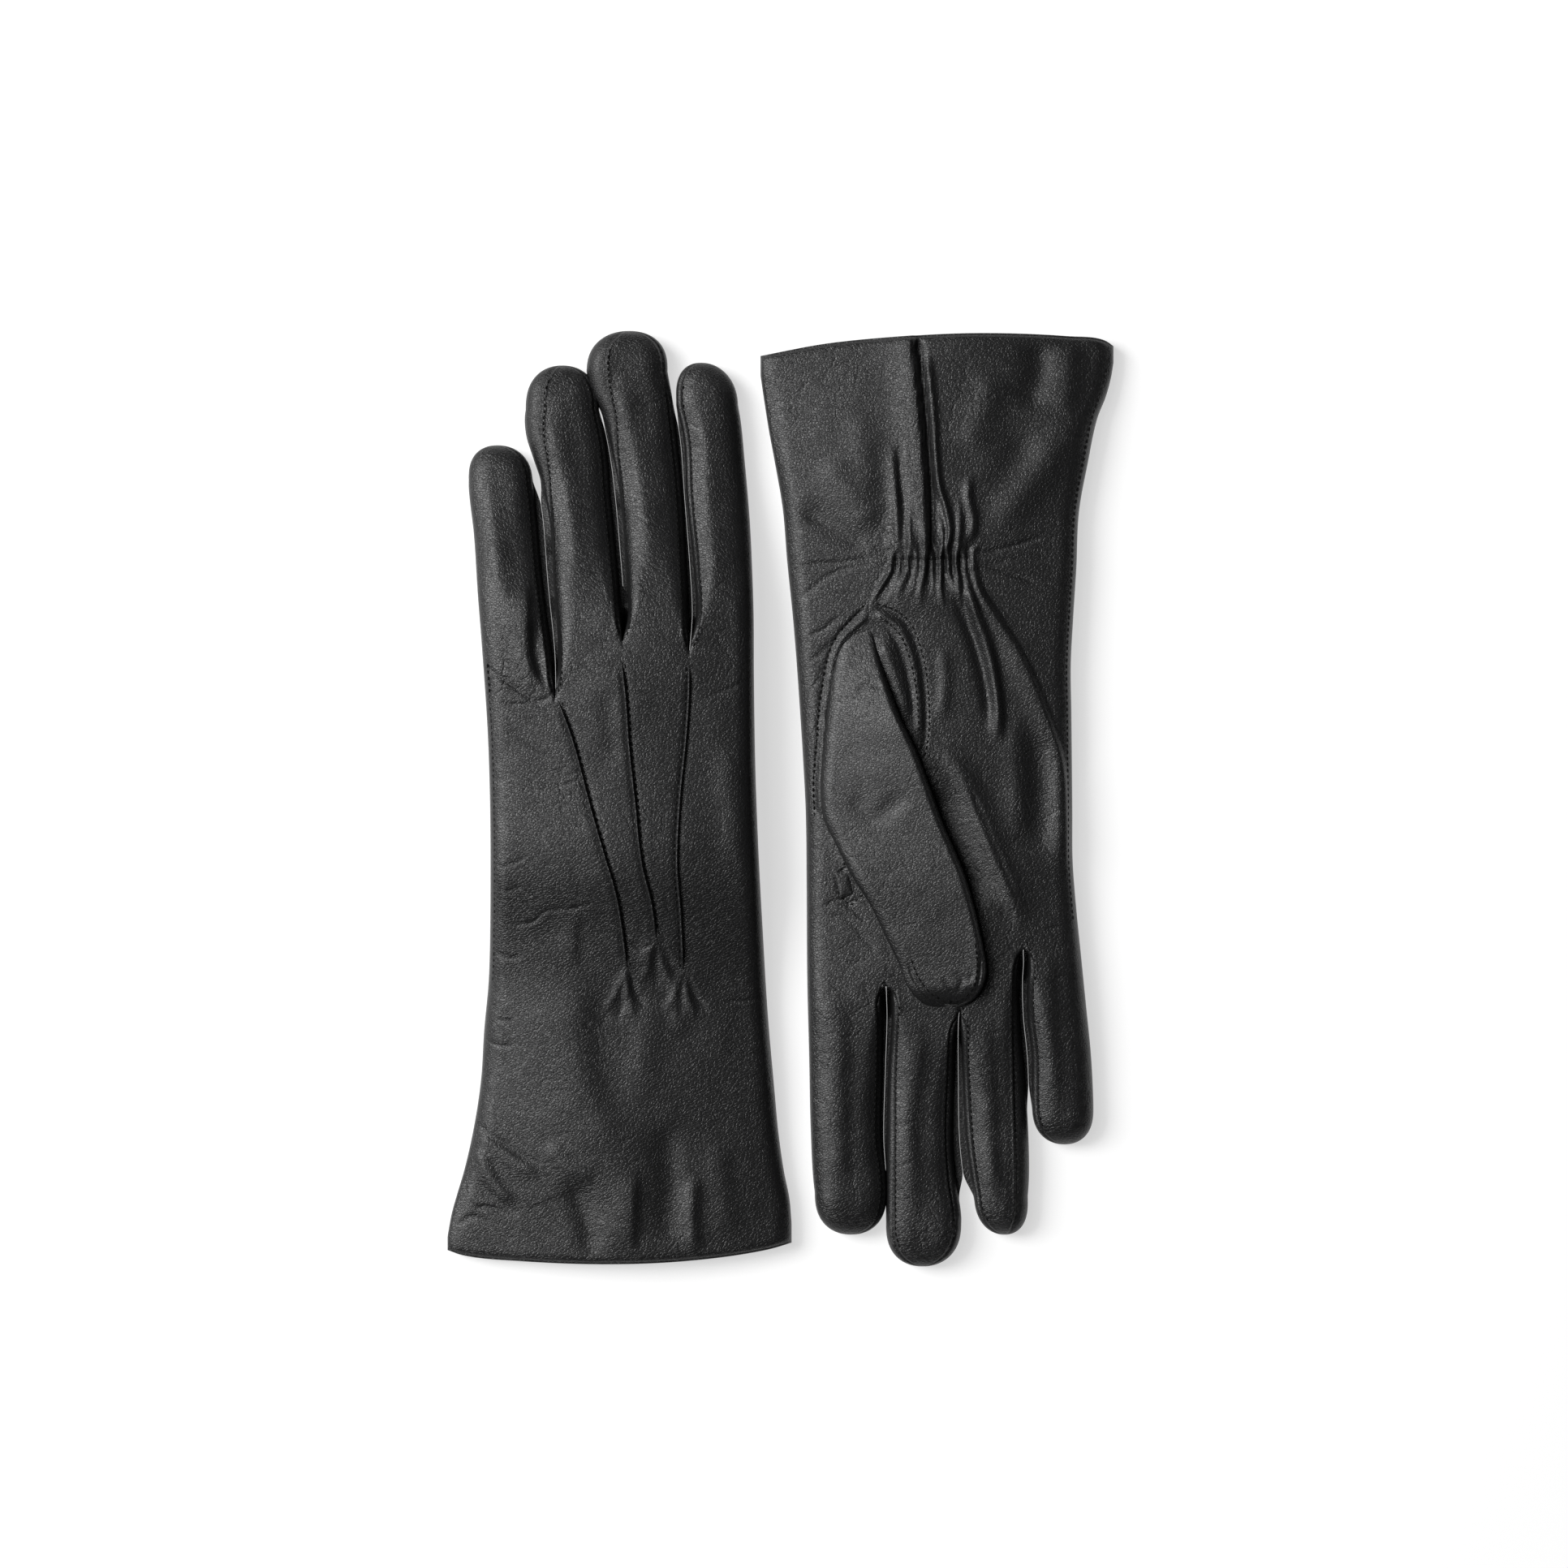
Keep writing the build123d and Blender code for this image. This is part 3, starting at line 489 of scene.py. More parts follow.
def strip(glove, name, upper):
    """Grid of one finger's strip, from hem to fingertip. Its columns run from the west side over the west
    fourchette,
    the hand piece and the east fourchette; its height is the middle plus half the thickness times the edge
    rounding of
    both sides, and the tip closes as a superellipse. Returns the points and the rows' distance along."""
    west, east, west_crotch, east_crotch, (round_y, tip_y, tip_x) = sides_of(glove, name)
    s0, s1, s2 = HEM_ROW, along(glove, round_y), along(glove, tip_y)
    rows = ROWS[ROWS < s1 - 0.2]
    turn = np.sin(np.linspace(0, np.pi / 2, 26))
    rows = np.concatenate([rows, s1 + (s2 - s1) * turn])
    y = along(glove, rows)
    t = np.clip((rows - s1) / (s2 - s1), 0, 1)
    body_y = along(glove, np.minimum(rows, s1))
    w, e = west(body_y), east(body_y)
    if not upper:
        w = w - fork_reach(glove, name, -1, body_y, rows, west_crotch)
        e = e + fork_reach(glove, name, 1, body_y, rows, east_crotch)
    middle, half = (w + e) / 2, (e - w) / 2
    middle = middle + (tip_x - middle) * t**1.5
    half = half * np.clip(1 - t**2.5, 0, 1) ** (1 / 2.15)
    w, e = middle - half, middle + half

    def seam(which, crotch):
        """Width of the fourchette on one side: none up to the crotch, then the seam's distance from the
        side."""
        if abs(crotch) > NO_CROTCH / 10:
            return np.zeros_like(rows) + 1e-4
        wide = SEAM_IN.get((glove, name, which), PLAIN_SEAM)(y)
        return np.minimum(wide, half * 0.55) * ease(0, 7, rows - along(glove, crotch)) + 1e-4

    a, b = seam(0, west_crotch), seam(1, east_crotch)
    count = 34
    q = np.linspace(0, 1, count)
    q = 0.5 * q + 0.5 * (0.5 - 0.5 * np.cos(np.pi * q))
    fork = np.linspace(0, 1, 5)[:-1] ** 1.4
    columns = [w[:, None] + a[:, None] * fork, (w + a)[:, None] + (e - b - w - a)[:, None] * q,
               e[:, None] - b[:, None] * fork[::-1]]
    x = np.concatenate(columns, 1)
    s = rows[:, None] + np.zeros_like(x)
    # bend the first rows onto the hem's curve
    hem = through(LEFT_HEM if glove == "left" else [(px, -py) for px, py in RIGHT_HEM])
    s = s + (hem(x) - s0) * (1 - ease(0, 60, s - s0))
    y = along(glove, s)
    # heights
    lie, thick = UNDERSIDE[glove](s), THICK[glove](s)
    radius = 6.4 + 2.2 * ease(30, 100, s)

    def radius_by(crotch):
        """The rounding starts small in the crotch and grows along the finger."""
        if abs(crotch) > NO_CROTCH / 10:
            return radius
        return 2.2 + (radius - 2.2) * ease(-2, 34, s - along(glove, crotch))

    def open_side(crotch):
        """A side that is the hand's own edge is always round; one between fingers is round past its
        crotch."""
        return 1.0 if abs(crotch) > NO_CROTCH / 10 else ease(-3, 13, s - along(glove, crotch))

    drop = 1 - open_side(west_crotch) * rounding((x - w[:, None]) / radius_by(west_crotch))
    drop = drop * (1 - open_side(east_crotch) * rounding((e[:, None] - x) / radius_by(east_crotch)))
    tip_drop = np.clip(1 - t**2.2, 0, 1)[:, None] ** (1 / 2.0)
    swell = drop * tip_drop
    hem_drop = 1 - 0.30 * rounding((s - s.min(0)) / 3.0)
    z = lie + thick / 2 + (1 if upper else -1) * thick / 2 * swell * hem_drop
    pressed = z.copy()
    if upper:
        (left_back_folds if glove == "left" else right_palm_folds)(pressed, x, y)
        finger_creases(pressed, x, y, glove, name, middle, half, rows)
    else:
        (left_palm_folds if glove == "left" else right_back_folds)(pressed, x, y)
    # folds fade towards the edges and the tips, so that both sides still meet there
    z = z + (pressed - z) * np.clip(swell * 1.6 - 0.25, 0, 1)
    # the seam beside a fourchette is a narrow groove with a lip on each side
    for offset, at in ((a[:, None], x - w[:, None]), (b[:, None], e[:, None] - x)):
        if offset.max() > 0.01:
            d = (at - offset) / 0.42
            lip = 0.22 * np.exp(-((np.abs(d) - 1.9) / 1.0) ** 2) - 0.42 * np.exp(-d**2)
            z = z + (1 if upper else -1) * lip * (offset > 0.3) * tip_drop
    return np.stack([x, y, z], -1), rows


def finger_creases(z, x, y, glove, name, middle, half, rows):
    """Creases round a finger at its joints: short arcs across its back, and one long soft ridge."""
    rng = np.random.default_rng(sum(map(ord, glove + name)))
    tip = rows[-1]
    first = along(glove, HINGES[glove][name]) - 6
    for k in range(9):
        s = first + (tip - 6 - first) * (k + rng.uniform(0.1, 0.9)) / 9
        m, h = np.interp(s, rows, middle), np.interp(s, rows, half)
        start, length = rng.uniform(-0.95, 0.1), rng.uniform(0.4, 0.95)
        px = m + h * np.linspace(start, min(start + length, 0.95), 4)
        py = along(glove, s + rng.uniform(-1.0, 1.0, 4))
        fold(z, x, y, list(zip(px, py)), -rng.uniform(0.06, 0.16), rng.uniform(0.45, 0.7))
    s = np.linspace(first - 4, tip - 9, 5)
    m, h = np.interp(s, rows, middle), np.interp(s, rows, half)
    fold(z, x, y, list(zip(m - 0.25 * h + rng.uniform(-1, 1, 5), along(glove, s))), 0.7, 3.0, 5.0)
    z += 0.16 * soft_noise(x, y, 7, int(rng.integers(99))) * ease(30, 60, along(glove, y))


# ---------------------------------------------------------------- meshes

def skin(name, points, faces, normals=None):
    """A mesh object from points in millimetres, lists of corners, and the normal of each point if it is
    given."""
    mesh = bpy.data.meshes.new(name)
    points = np.asarray(points, float).reshape(-1, 3) / 1000
    mesh.from_pydata(points.tolist(), [], faces.tolist() if isinstance(faces, np.ndarray) else faces)
    mesh.validate()
    mesh.shade_smooth()
    if normals is not None:
        n = normals / np.maximum(np.linalg.norm(normals, axis=1), 1e-9)[:, None]
        mesh.normals_split_custom_set_from_vertices(n.tolist())
    made = bpy.data.objects.new(name, mesh)
    bpy.context.collection.objects.link(made)
    return made


def quads(rows, columns, wrap=False):
    """Faces of a grid of that many rows and columns, row after row."""
    i = np.arange(rows * columns).reshape(rows, columns)
    if wrap:
        i = np.concatenate([i, i[:, :1]], 1)
    return np.stack([i[:-1, :-1], i[:-1, 1:], i[1:, 1:], i[1:, :-1]], -1).reshape(-1, 4)


def sheet(grid, keep):
    """A grid with its faces, which are turned round unless keep is true."""
    faces = quads(*grid.shape[:2])
    return grid, faces if keep else faces[:, ::-1]


def facing(grid):
    """Normals of a grid: the cross product of its differences along columns and rows, of length 1."""
    normal = np.cross(np.gradient(grid, axis=1), np.gradient(grid, axis=0))
    return normal / np.maximum(np.linalg.norm(normal, axis=-1, keepdims=True), 1e-9)


def stack(parts):
    """Several (points, faces) put into one numbering."""
    points, faces, count = [], [], 0
    for p, f in parts:
        points.append(p.reshape(-1, 3))
        faces.append(f + count)
        count += len(points[-1])
    return np.concatenate(points), np.concatenate(faces)


def bead(lengthwise=4, around=6):
    """One stitch of unit length: an ellipsoid along X, as points, its quads and the triangles of its two
    ends."""
    u = np.linspace(0, np.pi, lengthwise + 2)[1:-1, None]
    v = np.linspace(0, 2 * np.pi, around, endpoint=False)
    ring = np.stack([-np.cos(u) / 2 + 0 * v, np.sin(u) * np.cos(v), np.sin(u) * np.sin(v)], -1)
    points = np.concatenate([ring.reshape(-1, 3), [[-0.5, 0, 0], [0.5, 0, 0]]])
    k = np.arange(around)
    first, end = lengthwise * around, (lengthwise - 1) * around
    caps = np.stack([np.full(around, first), (k + 1) % around, k], 1)
    more = np.stack([np.full(around, first + 1), end + k, end + (k + 1) % around], 1)
    return points, quads(lengthwise, around, wrap=True), np.concatenate([caps, more])


def height_at(cloud, x, y):
    """The height of the cloud's point that is nearest in plan to each x and y."""
    d = (cloud[:, 0] - np.reshape(x, (-1, 1))) ** 2 + (cloud[:, 1] - np.reshape(y, (-1, 1))) ** 2
    return cloud[np.argmin(d, 1), 2]


def stitches(name, lines, cloud, pitch=2.0, length=1.3, thick=0.27, up=1):
    """A row of stitches along each line: beads every pitch mm, which lie on the leather given as a cloud of
    points."""
    points, sides, ends = bead()
    all_points, all_quads, all_ends, count = [], [], [], 0
    for line in lines:
        line = smooth_line(line, 200)
        run = run_of(line)
        at = np.arange(pitch / 2, run[-1], pitch)
        if len(at) < 1:
            continue
        x, y = np.interp(at, run, line[:, 0]), np.interp(at, run, line[:, 1])
        dx, dy = (np.interp(at + 0.2, run, line[:, k]) - np.interp(at - 0.2, run, line[:, k]) for k in (0, 1))
        norm = np.maximum(np.hypot(dx, dy), 1e-9)
        dx, dy = dx / norm, dy / norm
        near = cloud[(cloud[:, 0] > x.min() - 2) & (cloud[:, 0] < x.max() + 2)
                     & (cloud[:, 1] > y.min() - 2) & (cloud[:, 1] < y.max() + 2)]
        z = height_at(near, x, y)
        rise = height_at(near, x + dx * 0.6, y + dy * 0.6) - height_at(near, x - dx * 0.6, y - dy * 0.6)
        forward = np.stack([dx * 1.2, dy * 1.2, rise], 1)
        forward /= np.linalg.norm(forward, axis=1)[:, None]
        sideways = np.stack([-dy, dx, 0 * dx], 1)
        upwards = np.cross(forward, sideways)
        centre = np.stack([x, y, z + up * thick * 0.35], 1)
        placed = centre[:, None]
        for k, (way, size) in enumerate(((forward, length), (sideways, thick), (upwards, thick))):
            placed = placed + points[None, :, k:k + 1] * size * way[:, None]
        shift = (np.arange(len(at)) * len(points))[:, None, None] + count
        all_points.append(placed.reshape(-1, 3))
        all_quads.append((sides[None] + shift).reshape(-1, 4))
        all_ends.append((ends[None] + shift).reshape(-1, 3))
        count += len(at) * len(points)
    faces = np.concatenate(all_quads).tolist() + np.concatenate(all_ends).tolist()
    return skin(name, np.concatenate(all_points), faces)


def cord_along(line, cloud, radius_x, height, up, sides=18, ends=5.0):
    """A raised rib along a line: half an ellipse across it, radius_x wide each way and height tall, which
    swells a
    little every 2.1 mm and tapers over its ends. Its foot sinks under the leather's nearest point."""
    line = smooth_line(line, int(run_of(np.array(line))[-1] / STEP_ALONG))
    run = run_of(line)
    tangent = np.gradient(line, axis=0)
    tangent /= np.linalg.norm(tangent, axis=1)[:, None]
    z = np.convolve(np.pad(height_at(cloud, *line.T), 3, mode="edge"), np.ones(7) / 7, mode="valid")
    size = ease(0, ends, run) * ease(0, ends, run[-1] - run) * (1 + 0.10 * np.sin(run * 2 * np.pi / 2.1))
    angle = np.linspace(0, 2 * np.pi, sides, endpoint=False)
    across = np.stack([-tangent[:, 1], tangent[:, 0]], 1)
    off = np.cos(angle) * radius_x * (0.35 + 0.65 * size)[:, None]
    lift = np.sin(angle) * np.where(np.sin(angle) > 0, height, 0.9) * (0.15 + 0.85 * size)[:, None]
    xy = line[:, None] + across[:, None] * off[..., None]
    grid = np.concatenate([xy, (z[:, None] + up * lift)[..., None]], -1)
    middle = np.arange(1, sides - 1)
    start = np.stack([0 * middle, middle + 1, middle], 1)
    end = start[:, [0, 2, 1]] + (len(line) - 1) * sides
    faces = quads(len(line), sides, wrap=True).tolist() + start.tolist() + end.tolist()
    return grid.reshape(-1, 3), faces if up > 0 else [face[::-1] for face in faces]


# ---------------------------------------------------------------- materials

def add(material, kind, values, **settings):
    """A shader node of that kind with its settings. values names each input's number, or the output it is
    linked to."""
    tree = material.node_tree
    made = tree.nodes.new("ShaderNode" + kind)
    for key, value in settings.items():
        setattr(made, key, value)
    wire(tree, made, values)
    return made


def wire(tree, made, values):
    """Sets or links the inputs of a node."""
    for socket, value in values.items():
        if isinstance(value, bpy.types.NodeSocket):
            tree.links.new(value, made.inputs[socket])
        else:
            made.inputs[socket].default_value = value


def new_material(name):
    """A material with its plain shader, and the place on the piece that its patterns read."""
    material = bpy.data.materials.new(name)
    material.use_nodes = True
    return material, add(material, "TexCoord", {}).outputs["Object"]


def finish_material(material, height, strength, distance, values):
    """Gives the shader its values, and a bump of that strength and distance."""
    bump = add(material, "Bump", {"Height": height, "Strength": strength, "Distance": distance})
    wire(material.node_tree, material.node_tree.nodes["Principled BSDF"], {"Normal": bump.outputs["Normal"],
                                                                           **values})
    return material


def between(material, value, low, high, **settings):
    """The value's range 0 to 1, or From Min to From Max, mapped to low to high."""
    sockets = {"Value": value, "To Min": low, "To Max": high}
    sockets.update({key.replace("_", " ").title(): number for key,
                    number in settings.items() if "from" in key})
    shape = {key: text for key, text in settings.items() if "from" not in key}
    return add(material, "MapRange", sockets, **shape).outputs["Result"]


def leather(name, tint=1.0, grain=1.0, rough=0.40):
    """Black glove nappa: a pebbled grain of distorted cells under 1 mm, drawn out along the diagonal, finer
    pores
    between, and a sparse web of soft wrinkles. Sheen and roughness vary slowly."""
    m, place = new_material(name)
    drawn = add(m, "Mapping", {"Vector": place, "Rotation": (0, 0, 0.75), "Scale": (0.72, 1.25,
                                                                                    1.0)}).outputs[0]

    def cells(vector, warp_scale, detail, reach, scale):
        """Distance to the edge of cells whose place is warped by a noise."""
        warp = add(m, "TexNoise", {"Vector": vector, "Scale": warp_scale, "Detail": detail}).outputs["Color"]
        moved = add(m, "VectorMath", {0: warp, 1: (reach, reach, reach), 2: vector}, operation="MULTIPLY_ADD")
        made = add(m, "TexVoronoi", {"Vector": moved.outputs[0], "Scale": scale}, feature="DISTANCE_TO_EDGE")
        return made.outputs["Distance"]

    dome = between(m, cells(drawn, 420, 2, 0.0011, 1150), 0, 1, from_max=0.22,
                   interpolation_type="SMOOTHSTEP")
    pore = add(m, "TexNoise", {"Vector": drawn, "Scale": 2600, "Detail": 3}).outputs["Fac"]
    web = between(m, cells(place, 160, 4, 0.008, 150), -0.5, 0, from_max=0.10)
    patches = add(m, "TexNoise", {"Vector": place, "Scale": 38, "Detail": 3}).outputs["Fac"]
    worn = between(m, patches, 0, 1, from_min=0.46, from_max=0.66)
    wrinkles = add(m, "Math", {0: web, 1: worn}, operation="MULTIPLY").outputs[0]
    fine = add(m, "Math", {0: pore, 1: 0.30, 2: wrinkles}, operation="MULTIPLY_ADD").outputs[0]
    height = add(m, "Math", {0: dome, 1: 0.42, 2: fine}, operation="MULTIPLY_ADD").outputs[0]
    colour = add(m, "VectorMath", {0: (0.0085 * tint, 0.0085 * tint, 0.0088 * tint),
                                   "Scale": between(m, patches, 0.85, 1.25)}, operation="SCALE").outputs[0]
    return finish_material(m, height, 0.8 * grain, 0.0002, {
        "Base Color": colour, "Specular IOR Level": 0.55,
        "Roughness": between(m, pore, rough - 0.05, rough + 0.07)})


def knit(name):
    """Fine black knit: rows of loops from two crossed waves, 0.9 mm apart, with a soft sheen."""
    m, place = new_material(name)
    loops = add(m, "TexWave", {"Vector": place, "Scale": 340, "Distortion": 1.5,
                               "Detail Scale": 2}).outputs["Fac"]
    courses = add(m, "TexWave", {"Vector": place, "Scale": 340}, bands_direction="Y").outputs["Fac"]
    both = add(m, "Math", {0: loops, 1: courses}, operation="MULTIPLY").outputs[0]
    return finish_material(m, both, 0.8, 0.0003, {
        "Base Color": between(m, both, 0.012, 0.034), "Roughness": 0.9, "Sheen Weight": 0.3})


def twisted_thread(name):
    """Black polyester thread: fine bands across each stitch, a dull gloss."""
    m, place = new_material(name)
    ply = add(m, "TexWave", {"Vector": place, "Scale": 1500}, bands_direction="DIAGONAL").outputs["Fac"]
    return finish_material(m, ply, 1.0, 0.00006, {
        "Base Color": between(m, ply, 0.002, 0.007), "Roughness": 0.8, "Specular IOR Level": 0.2})


NAPPA = leather("black_nappa")
NAPPA_THUMB = leather("black_nappa_thumb", grain=0.85)
FORK = leather("black_nappa_fourchette", tint=0.8, grain=0.9, rough=0.46)
KNIT = knit("lining_knit")
THREAD = twisted_thread("sewing_thread")


def dress(made, material, body=None, nodes=(), bend=None):
    """Gives a piece its material and hides the CAD nodes it stands for. Without a bend it is parented to its
    body's empty; with a bend its transform is only baked into its points, and the bend's bodies and span are
    not used."""
    made.data.materials.append(material)
    if nodes:
        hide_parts(*nodes)
    if bend:
        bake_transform(made)
    else:
        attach(made, body)


# ---------------------------------------------------------------- camera

EYE_HEIGHT = 2.5
camera = bpy.data.objects.new("camera", bpy.data.cameras.new("camera"))
bpy.context.collection.objects.link(camera)
camera.location = (0.0011, 0.0046, EYE_HEIGHT)
camera.data.sensor_width = 36
# the view is 512 mm wide at the middle of the gloves' height
camera.data.lens = 36 * (EYE_HEIGHT - 0.010) / 0.512
camera.data.clip_end = 20
bpy.context.scene.camera = camera


# ---------------------------------------------------------------- each glove

SIDES = 4  # columns of the fourchette on each side of a strip
INNER = slice(SIDES, -SIDES)
WEST, EAST = slice(0, SIDES + 1), slice(-SIDES - 1, None)


def shared_normals(glove, grids, rows):
    """Normals of every strip. Below their crotch two strips share the mean of their normals where they
    meet."""
    normals = {key: facing(grid) for key, grid in grids.items()}
    names = ORDER[glove]
    for up in (True, False):
        for k, (west, east) in enumerate(zip(names[:-1], names[1:])):
            n = int((rows[west] <= along(glove, CROTCHES[glove][k][0])).sum())
            a, b = normals[west, up], normals[east, up]
            mean = a[:n, -SIDES - 1] + b[:n, SIDES]
            mean /= np.linalg.norm(mean, axis=-1, keepdims=True)
            a[:n, EAST] = mean[:, None]
            b[:n, WEST] = mean[:, None]
    return normals


def make_glove(glove):
    """All pieces of one glove, made from the strips of its upper and lower side. Returns both sides'
    points."""
    names = ORDER[glove]
    hand = f"{glove}_hand"
    left = glove == "left"
    way = 1 if left else -1
    strips = {(f, up): strip(glove, f, up) for f in names for up in (True, False)}
    grids = {key: made[0] for key, made in strips.items()}
    rows = {f: strips[f, True][1] for f in names}
    cut = {f: int((rows[f] <= along(glove, HINGES[glove][f]) - SPLIT).sum()) for f in names}
    normals = shared_normals(glove, grids, rows)
    clouds_here = [np.concatenate([grids[f, up].reshape(-1, 3) for f in names]) for up in (True, False)]

    def crotches(f):
        """Each crotch beside a finger: its last row before it, its column, and whether it is on the east
        side."""
        i = names.index(f)
        return [(max(0, int((rows[f] < along(glove, CROTCHES[glove][j][0])).sum()) - 1), col, east)
                for j, col, east in ((i - 1, 0, False), (i, -1, True)) if 0 <= j < 3]

    def knuckle(f):
        """The blend of a finger's pieces from the hand, across its hinge."""
        x = float(grids[f, True][cut[f]].mean(0)[0]) / 1000
        hinge = HINGES[glove][f] / 1000
        return (hand, f"{glove}_{f}", (x, hinge - way * (SPLIT - 1) / 1000, 0.006), (x, hinge + way * 0.012,
                                                                                     0.006))

    # the hand: both skins up to each finger's cut
    panels = ("back_panel", "palm_panel") if left else ("palm_panel", "back_panel")
    for up, panel in zip((True, False), panels):
        parts, norms = [], []
        for f in names:
            end = cut[f] + 1
            first = min(row for row, col, east in crotches(f))
            for start, cols in ((0, INNER), (first, WEST), (first, EAST)):
                parts.append(sheet(grids[f, up][start:end, cols], left == up))
                norms.append(normals[f, up][start:end, cols].reshape(-1, 3) * (1 if left == up else -1))
        made = skin(f"{glove}_{panel}_leather", *stack(parts), normals=np.concatenate(norms))
        dress(made, NAPPA, hand, [f"{glove}_{panel}"])

    # walls between fingers, before each finger's cut, where both skins are still apart
    walls = []
    for f in names:
        for first, col, east in crotches(f):
            if cut[f] + 1 - first > 1:
                ends = [grids[f, up][first:cut[f] + 1, col] for up in (True, False)]
                walls.append(sheet(np.stack(ends, 1), east == left))
    dress(skin(f"{glove}_crotch_walls", *stack(walls)), FORK, hand)

    for f in names:
        top, low = grids[f, True][cut[f]:], grids[f, False][cut[f]:]
        shell, sides, lining, norms = [], [], [], []
        for up, grid in ((True, top), (False, low)):
            shell.append(sheet(grid[:, INNER], left == up))
            norms.append(normals[f, up][cut[f]:, INNER].reshape(-1, 3) * (1 if left == up else -1))
            sides += [sheet(grid[:, cols], left == up) for cols in (WEST, EAST)]
            # the lining: the same finger drawn in to 0.74 of its thickness and 0.86 of its width
            middle = ((top + low) / 2)[::3, ::3]
            spine = middle.mean(1, keepdims=True)[..., 0]
            inner = middle + (grid[::3, ::3] - middle) * 0.74
            inner[..., 0] = spine + (inner[..., 0] - spine) * 0.86
            lining.append(sheet(inner[:-2], left == up))
        sides += [sheet(np.stack([top[:, col], low[:, col]], 1), east == left) for col, east in ((0, False),
                                                                                                 (-1, True))]
        fork = "fourchettes" if f in ("middle", "ring") else "fourchette"
        for piece, parts, material, slot, node in (
                ("leather", shell, NAPPA, "nappa", "shell"), ("sides", sides, FORK, "nappa", fork),
                ("knit", lining, KNIT, "lining_knit", "lining")):
            made = skin(f"{glove}_{f}_{piece}", *stack(parts),
                        normals=np.concatenate(norms) if parts is shell else None)
            dress(made, material, nodes=[f"{glove}_{f}_{node}"], bend=knuckle(f))

    # the cuff's turned hem and the lining
    rims, linings = [], []
    for up in (True, False):
        inwards = 1 if up else -1
        for f in names:
            grid = grids[f, up][:, INNER]
            gap = np.abs(grid[..., 2] - (grid[..., 2] + grids[f, not up][:, INNER, 2]) / 2)
            turn = np.linspace(0, np.pi, 7)[:, None]
            roll = np.repeat(grid[:1], 7, 0)
            roll[..., 1] -= way * 0.55 * np.sin(turn)
            roll[..., 2] -= inwards * np.minimum(gap[:1] * 0.9, 0.9) * (1 - np.cos(turn)) / 2
            deep = grid[1:24].copy()
            deep[..., 2] -= inwards * np.minimum(gap[1:24] * 0.9, 0.9)
            rims.append(sheet(np.concatenate([roll, deep]), left != up))
            inner = grid[20:330:4, ::2].copy()
            inner[..., 2] -= inwards * np.minimum(gap[20:330:4, ::2] * 0.95, 2.1)
            linings.append(sheet(inner, left != up))
    dress(skin(f"{glove}_hem_turned", *stack(rims)), NAPPA, hand, [f"{glove}_cuff_hem"])
    dress(skin(f"{glove}_hand_knit", *stack(linings)), KNIT, hand, [f"{glove}_hand_lining"])

    # three points on the back, with their stitches beside them
    back = clouds_here[0] if left else clouds_here[1]
    lines = POINTS if left else [half_turn(line) for line in POINTS]
    ribs, faces, count = [], [], 0
    for line in lines:
        p, f = cord_along(line, back, 0.6, 1.9 if left else 0.6, way)
        ribs.append(p)
        faces += [[i + count for i in face] for face in f]
        count += len(p)
    dress(skin(f"{glove}_points", np.concatenate(ribs), faces), NAPPA, hand,
          [f"{glove}_back_points"])
    beside = [[(px + way * off, py) for px, py in line] for line, off in zip(lines, (1.05, 1.05, -1.05))]
    made = stitches(f"{glove}_point_stitches", beside, back, pitch=2.3, thick=0.26, up=way)
    dress(made, THREAD, hand, [f"{glove}_point_threads"])

    # seam stitches along the fingers, and in their crotches
    for f in names:
        grid = grids[f, True]
        finger_lines, hand_lines = [], []
        for crotch, col, step in zip(sides_of(glove, f)[2:4], (SIDES, -SIDES - 1), (1, -1)):
            if abs(crotch) > NO_CROTCH / 10:
                continue
            first = int((rows[f] < along(glove, crotch) + 1.0).sum())
            path = grid[:, col, :2]
            inward = grid[:, col + step, :2] - path
            inward /= np.maximum(np.linalg.norm(inward, axis=1), 1e-9)[:, None]
            path = path + inward * 0.75
            hand_lines.append(path[first:cut[f] + 1:6])
            finger_lines.append(path[cut[f]:-12:6])
        cloud = grid.reshape(-1, 3)
        dress(stitches(f"{glove}_{f}_stitches", finger_lines, cloud), THREAD, bend=knuckle(f))
        hand_lines = [line for line in hand_lines if len(line) > 2]
        if hand_lines:
            dress(stitches(f"{glove}_{f}_crotch_stitches", hand_lines, cloud), THREAD, hand)
    return clouds_here


# ---------------------------------------------------------------- thumbs

PALM_TOP = 11.6  # the right palm's height under the thumb
LEFT_PALM = 9.2  # the left palm's height, over its thumb


